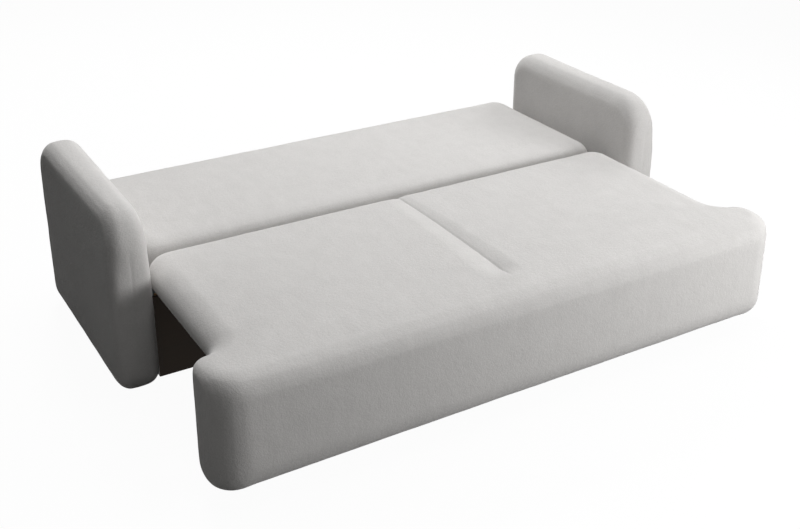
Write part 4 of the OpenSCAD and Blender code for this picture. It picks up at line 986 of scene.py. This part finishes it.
points[:, 0] = np.where(pull < 1, end_centre[0] + out * pull, points[:, 0])
points[:, 2] = np.where(pull < 1, end_centre[1] - down * pull, points[:, 2])
fall = np.clip((FALL_START - points[:, 1]) / FALL_RUN, 0, 1) ** 2
fall *= np.clip((FALL_ENDS[1] - np.abs(points[:, 0])) / (FALL_ENDS[1] - FALL_ENDS[0]), 0, 1)
points[:, 2] -= FALL * fall * np.clip((points[:, 2] - FALL_LOW) / FALL_FADE, 0, 1)
move_points(seat, points)
smooth(seat, SEAT_LAST_RUBS)
finer(seat)
soften_surface(seat, seed=11)

# The tuck: finer squares beside it, a line of points pulled onto it, and a fold sewn down.
tuck_shape = bmesh.new()
tuck_shape.from_mesh(seat.data)
near_tuck = [e for e in tuck_shape.edges
             if all(abs(v.co.x) < TUCK_PATCH and v.co.y > TUCK_FRONT - TUCK_PATCH
                    and v.co.z > seat_cover_high.z - TOP_BAND for v in e.verts)]
bmesh.ops.subdivide_edges(tuck_shape, edges=near_tuck, cuts=1, use_grid_fill=True)
tuck_shape.to_mesh(seat.data)
tuck_shape.free()
points = points_of(seat)
run = np.clip((points[:, 1] - TUCK_FRONT) / (seat_cover_high.y - TUCK_FRONT), 0, 1)
depth = TUCK_DEPTHS[1] + (TUCK_DEPTHS[0] - TUCK_DEPTHS[1]) * run
half_width = TUCK_HALF_WIDTHS[1] + (TUCK_HALF_WIDTHS[0] - TUCK_HALF_WIDTHS[1]) * run
past_end = np.clip((TUCK_FRONT - points[:, 1]) / TUCK_RUN_OUT, 0, 1)
fade = (1 - past_end ** 2) ** 2
facing_up = normals_of(seat)[:, 2] > TUCK_FACING_UP
on_top = facing_up & (points[:, 2] > seat_cover_high.z - TOP_BAND)
snapped = on_top & (np.abs(points[:, 0]) < TUCK_SNAP) & (points[:, 1] > TUCK_FRONT - TUCK_RUN_OUT)
points[snapped, 0] = 0
half_width = np.where(points[:, 0] < 0, TUCK_LEFT_SPREAD * half_width, half_width)
off = np.clip(1 - np.abs(points[:, 0]) / half_width, 0, 1)
fold = depth * off ** TUCK_BANK_POWER
fold += TUCK_STITCH_DEPTH * np.exp(-(points[:, 0] / TUCK_STITCH_WIDTH) ** 2)
points[:, 2] -= np.where(on_top, fold * fade, 0)
beyond = (np.abs(points[:, 0]) > SIDE_LIMIT) & (points[:, 1] > panel_high.y + WING_CURVE)
points[beyond, 0] = np.sign(points[beyond, 0]) * SIDE_LIMIT
move_points(seat, points)
cut_hollow(seat, seat_hollows(CLEARANCE, UNDER_THE_SLABS, ON_THE_FLOOR))
finish_pad(seat, velour, "seat", "velour", SLAB_FILL, "seat_cover")

# The back section's frame, springs, felt, lining and foam: made as the seat's are, and hung on
# pressed steel brackets whose shouldered pins run in the arms' tracks.
dress(spruce["X"], "back_front_rail", "back_rear_rail")
dress(spruce["Y"], "back_side_rails", "back_cross_rails")
dress(wire, "back_springs")
dress(zinc, "back_spring_clips", "back_bracket_screws", "hinge_brackets", "track_pins")
dress(polyamide, "glide_bushes")
lay_spring_felt("back", "back_felt", seed=13)
staple_lining("back", "back_lining", seed=15)
back_foam_low, back_foam_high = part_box("back_foam")
back_core = soft_block("back_foam_core", back_foam_low, back_foam_high, FOAM_EDGE, FOAM_SECTIONS,
                       seed=17, bump=FOAM_BUMP)
finish_pad(back_core, foam, "back", "foam", SOLID_FILL, "back_foam")

# The back section's cover: the same velour over a flat frame, its front edge softly rounded where
# it meets the seat, and its top a little crowned.
back_low, back_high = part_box("back_cover")
back_rail_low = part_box("back_front_rail")[0]
back_lining_low, back_lining_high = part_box("back_lining")
BACK_CORNER = 85 * MM
BACK_EDGE = 75 * MM
BACK_UNDER_EDGE = 22 * MM
BACK_CROWN = 5 * MM
BACK_TOP_FROM = 0.4
back_corners = [((x, y), BACK_CORNER) for x, y in ((back_low.x, back_low.y), (back_high.x, back_low.y),
                                                   (back_high.x, back_high.y), (back_low.x, back_high.y))]
back_shape = rounded_plate(back_corners, lambda x, y: (x, y, back_low.z))
thicken(back_shape, (0, 0, back_high.z - BACK_CROWN - back_low.z))
round_rim(back_shape, 2, back_high.z - BACK_CROWN, BACK_EDGE)
round_rim(back_shape, 2, back_low.z, BACK_UNDER_EDGE)
back = put(back_shape, "back_padding")
even_mesh(back, SEAT_CELL)
smooth(back, PAD_RUBS)
points = points_of(back)
across = np.clip(1 - (points[:, 0] / back_high.x) ** 2, 0, 1)
deep = np.clip(1 - ((2 * points[:, 1] - back_low.y - back_high.y) / (back_high.y - back_low.y)) ** 2, 0, 1)
points[:, 2] += np.where(points[:, 2] > BACK_TOP_FROM, BACK_CROWN * np.sqrt(across * deep), 0)
move_points(back, points)
puff(back, held=lambda p: p[:, 2] < HELD_BELOW)
finer(back)
soften_surface(back, seed=21)
points = points_of(back)
points[:, 0] = np.clip(points[:, 0], -SIDE_LIMIT, SIDE_LIMIT)
move_points(back, points)
cut_hollow(back, [
    ((back_foam_low.x - CLEARANCE, back_foam_low.y - CLEARANCE, back_rail_low.z),
     (back_foam_high.x + CLEARANCE, back_foam_high.y + CLEARANCE, back_foam_high.z + CLEARANCE)),
    ((back_lining_low.x - CLEARANCE, back_lining_low.y - CLEARANCE, UNDER_THE_SLABS),
     (back_lining_high.x + CLEARANCE, back_lining_high.y + 2 * CLEARANCE, back_rail_low.z + WINDOW_OVERLAP))])
finish_pad(back, velour, "back", "velour", SLAB_FILL, "back_cover")
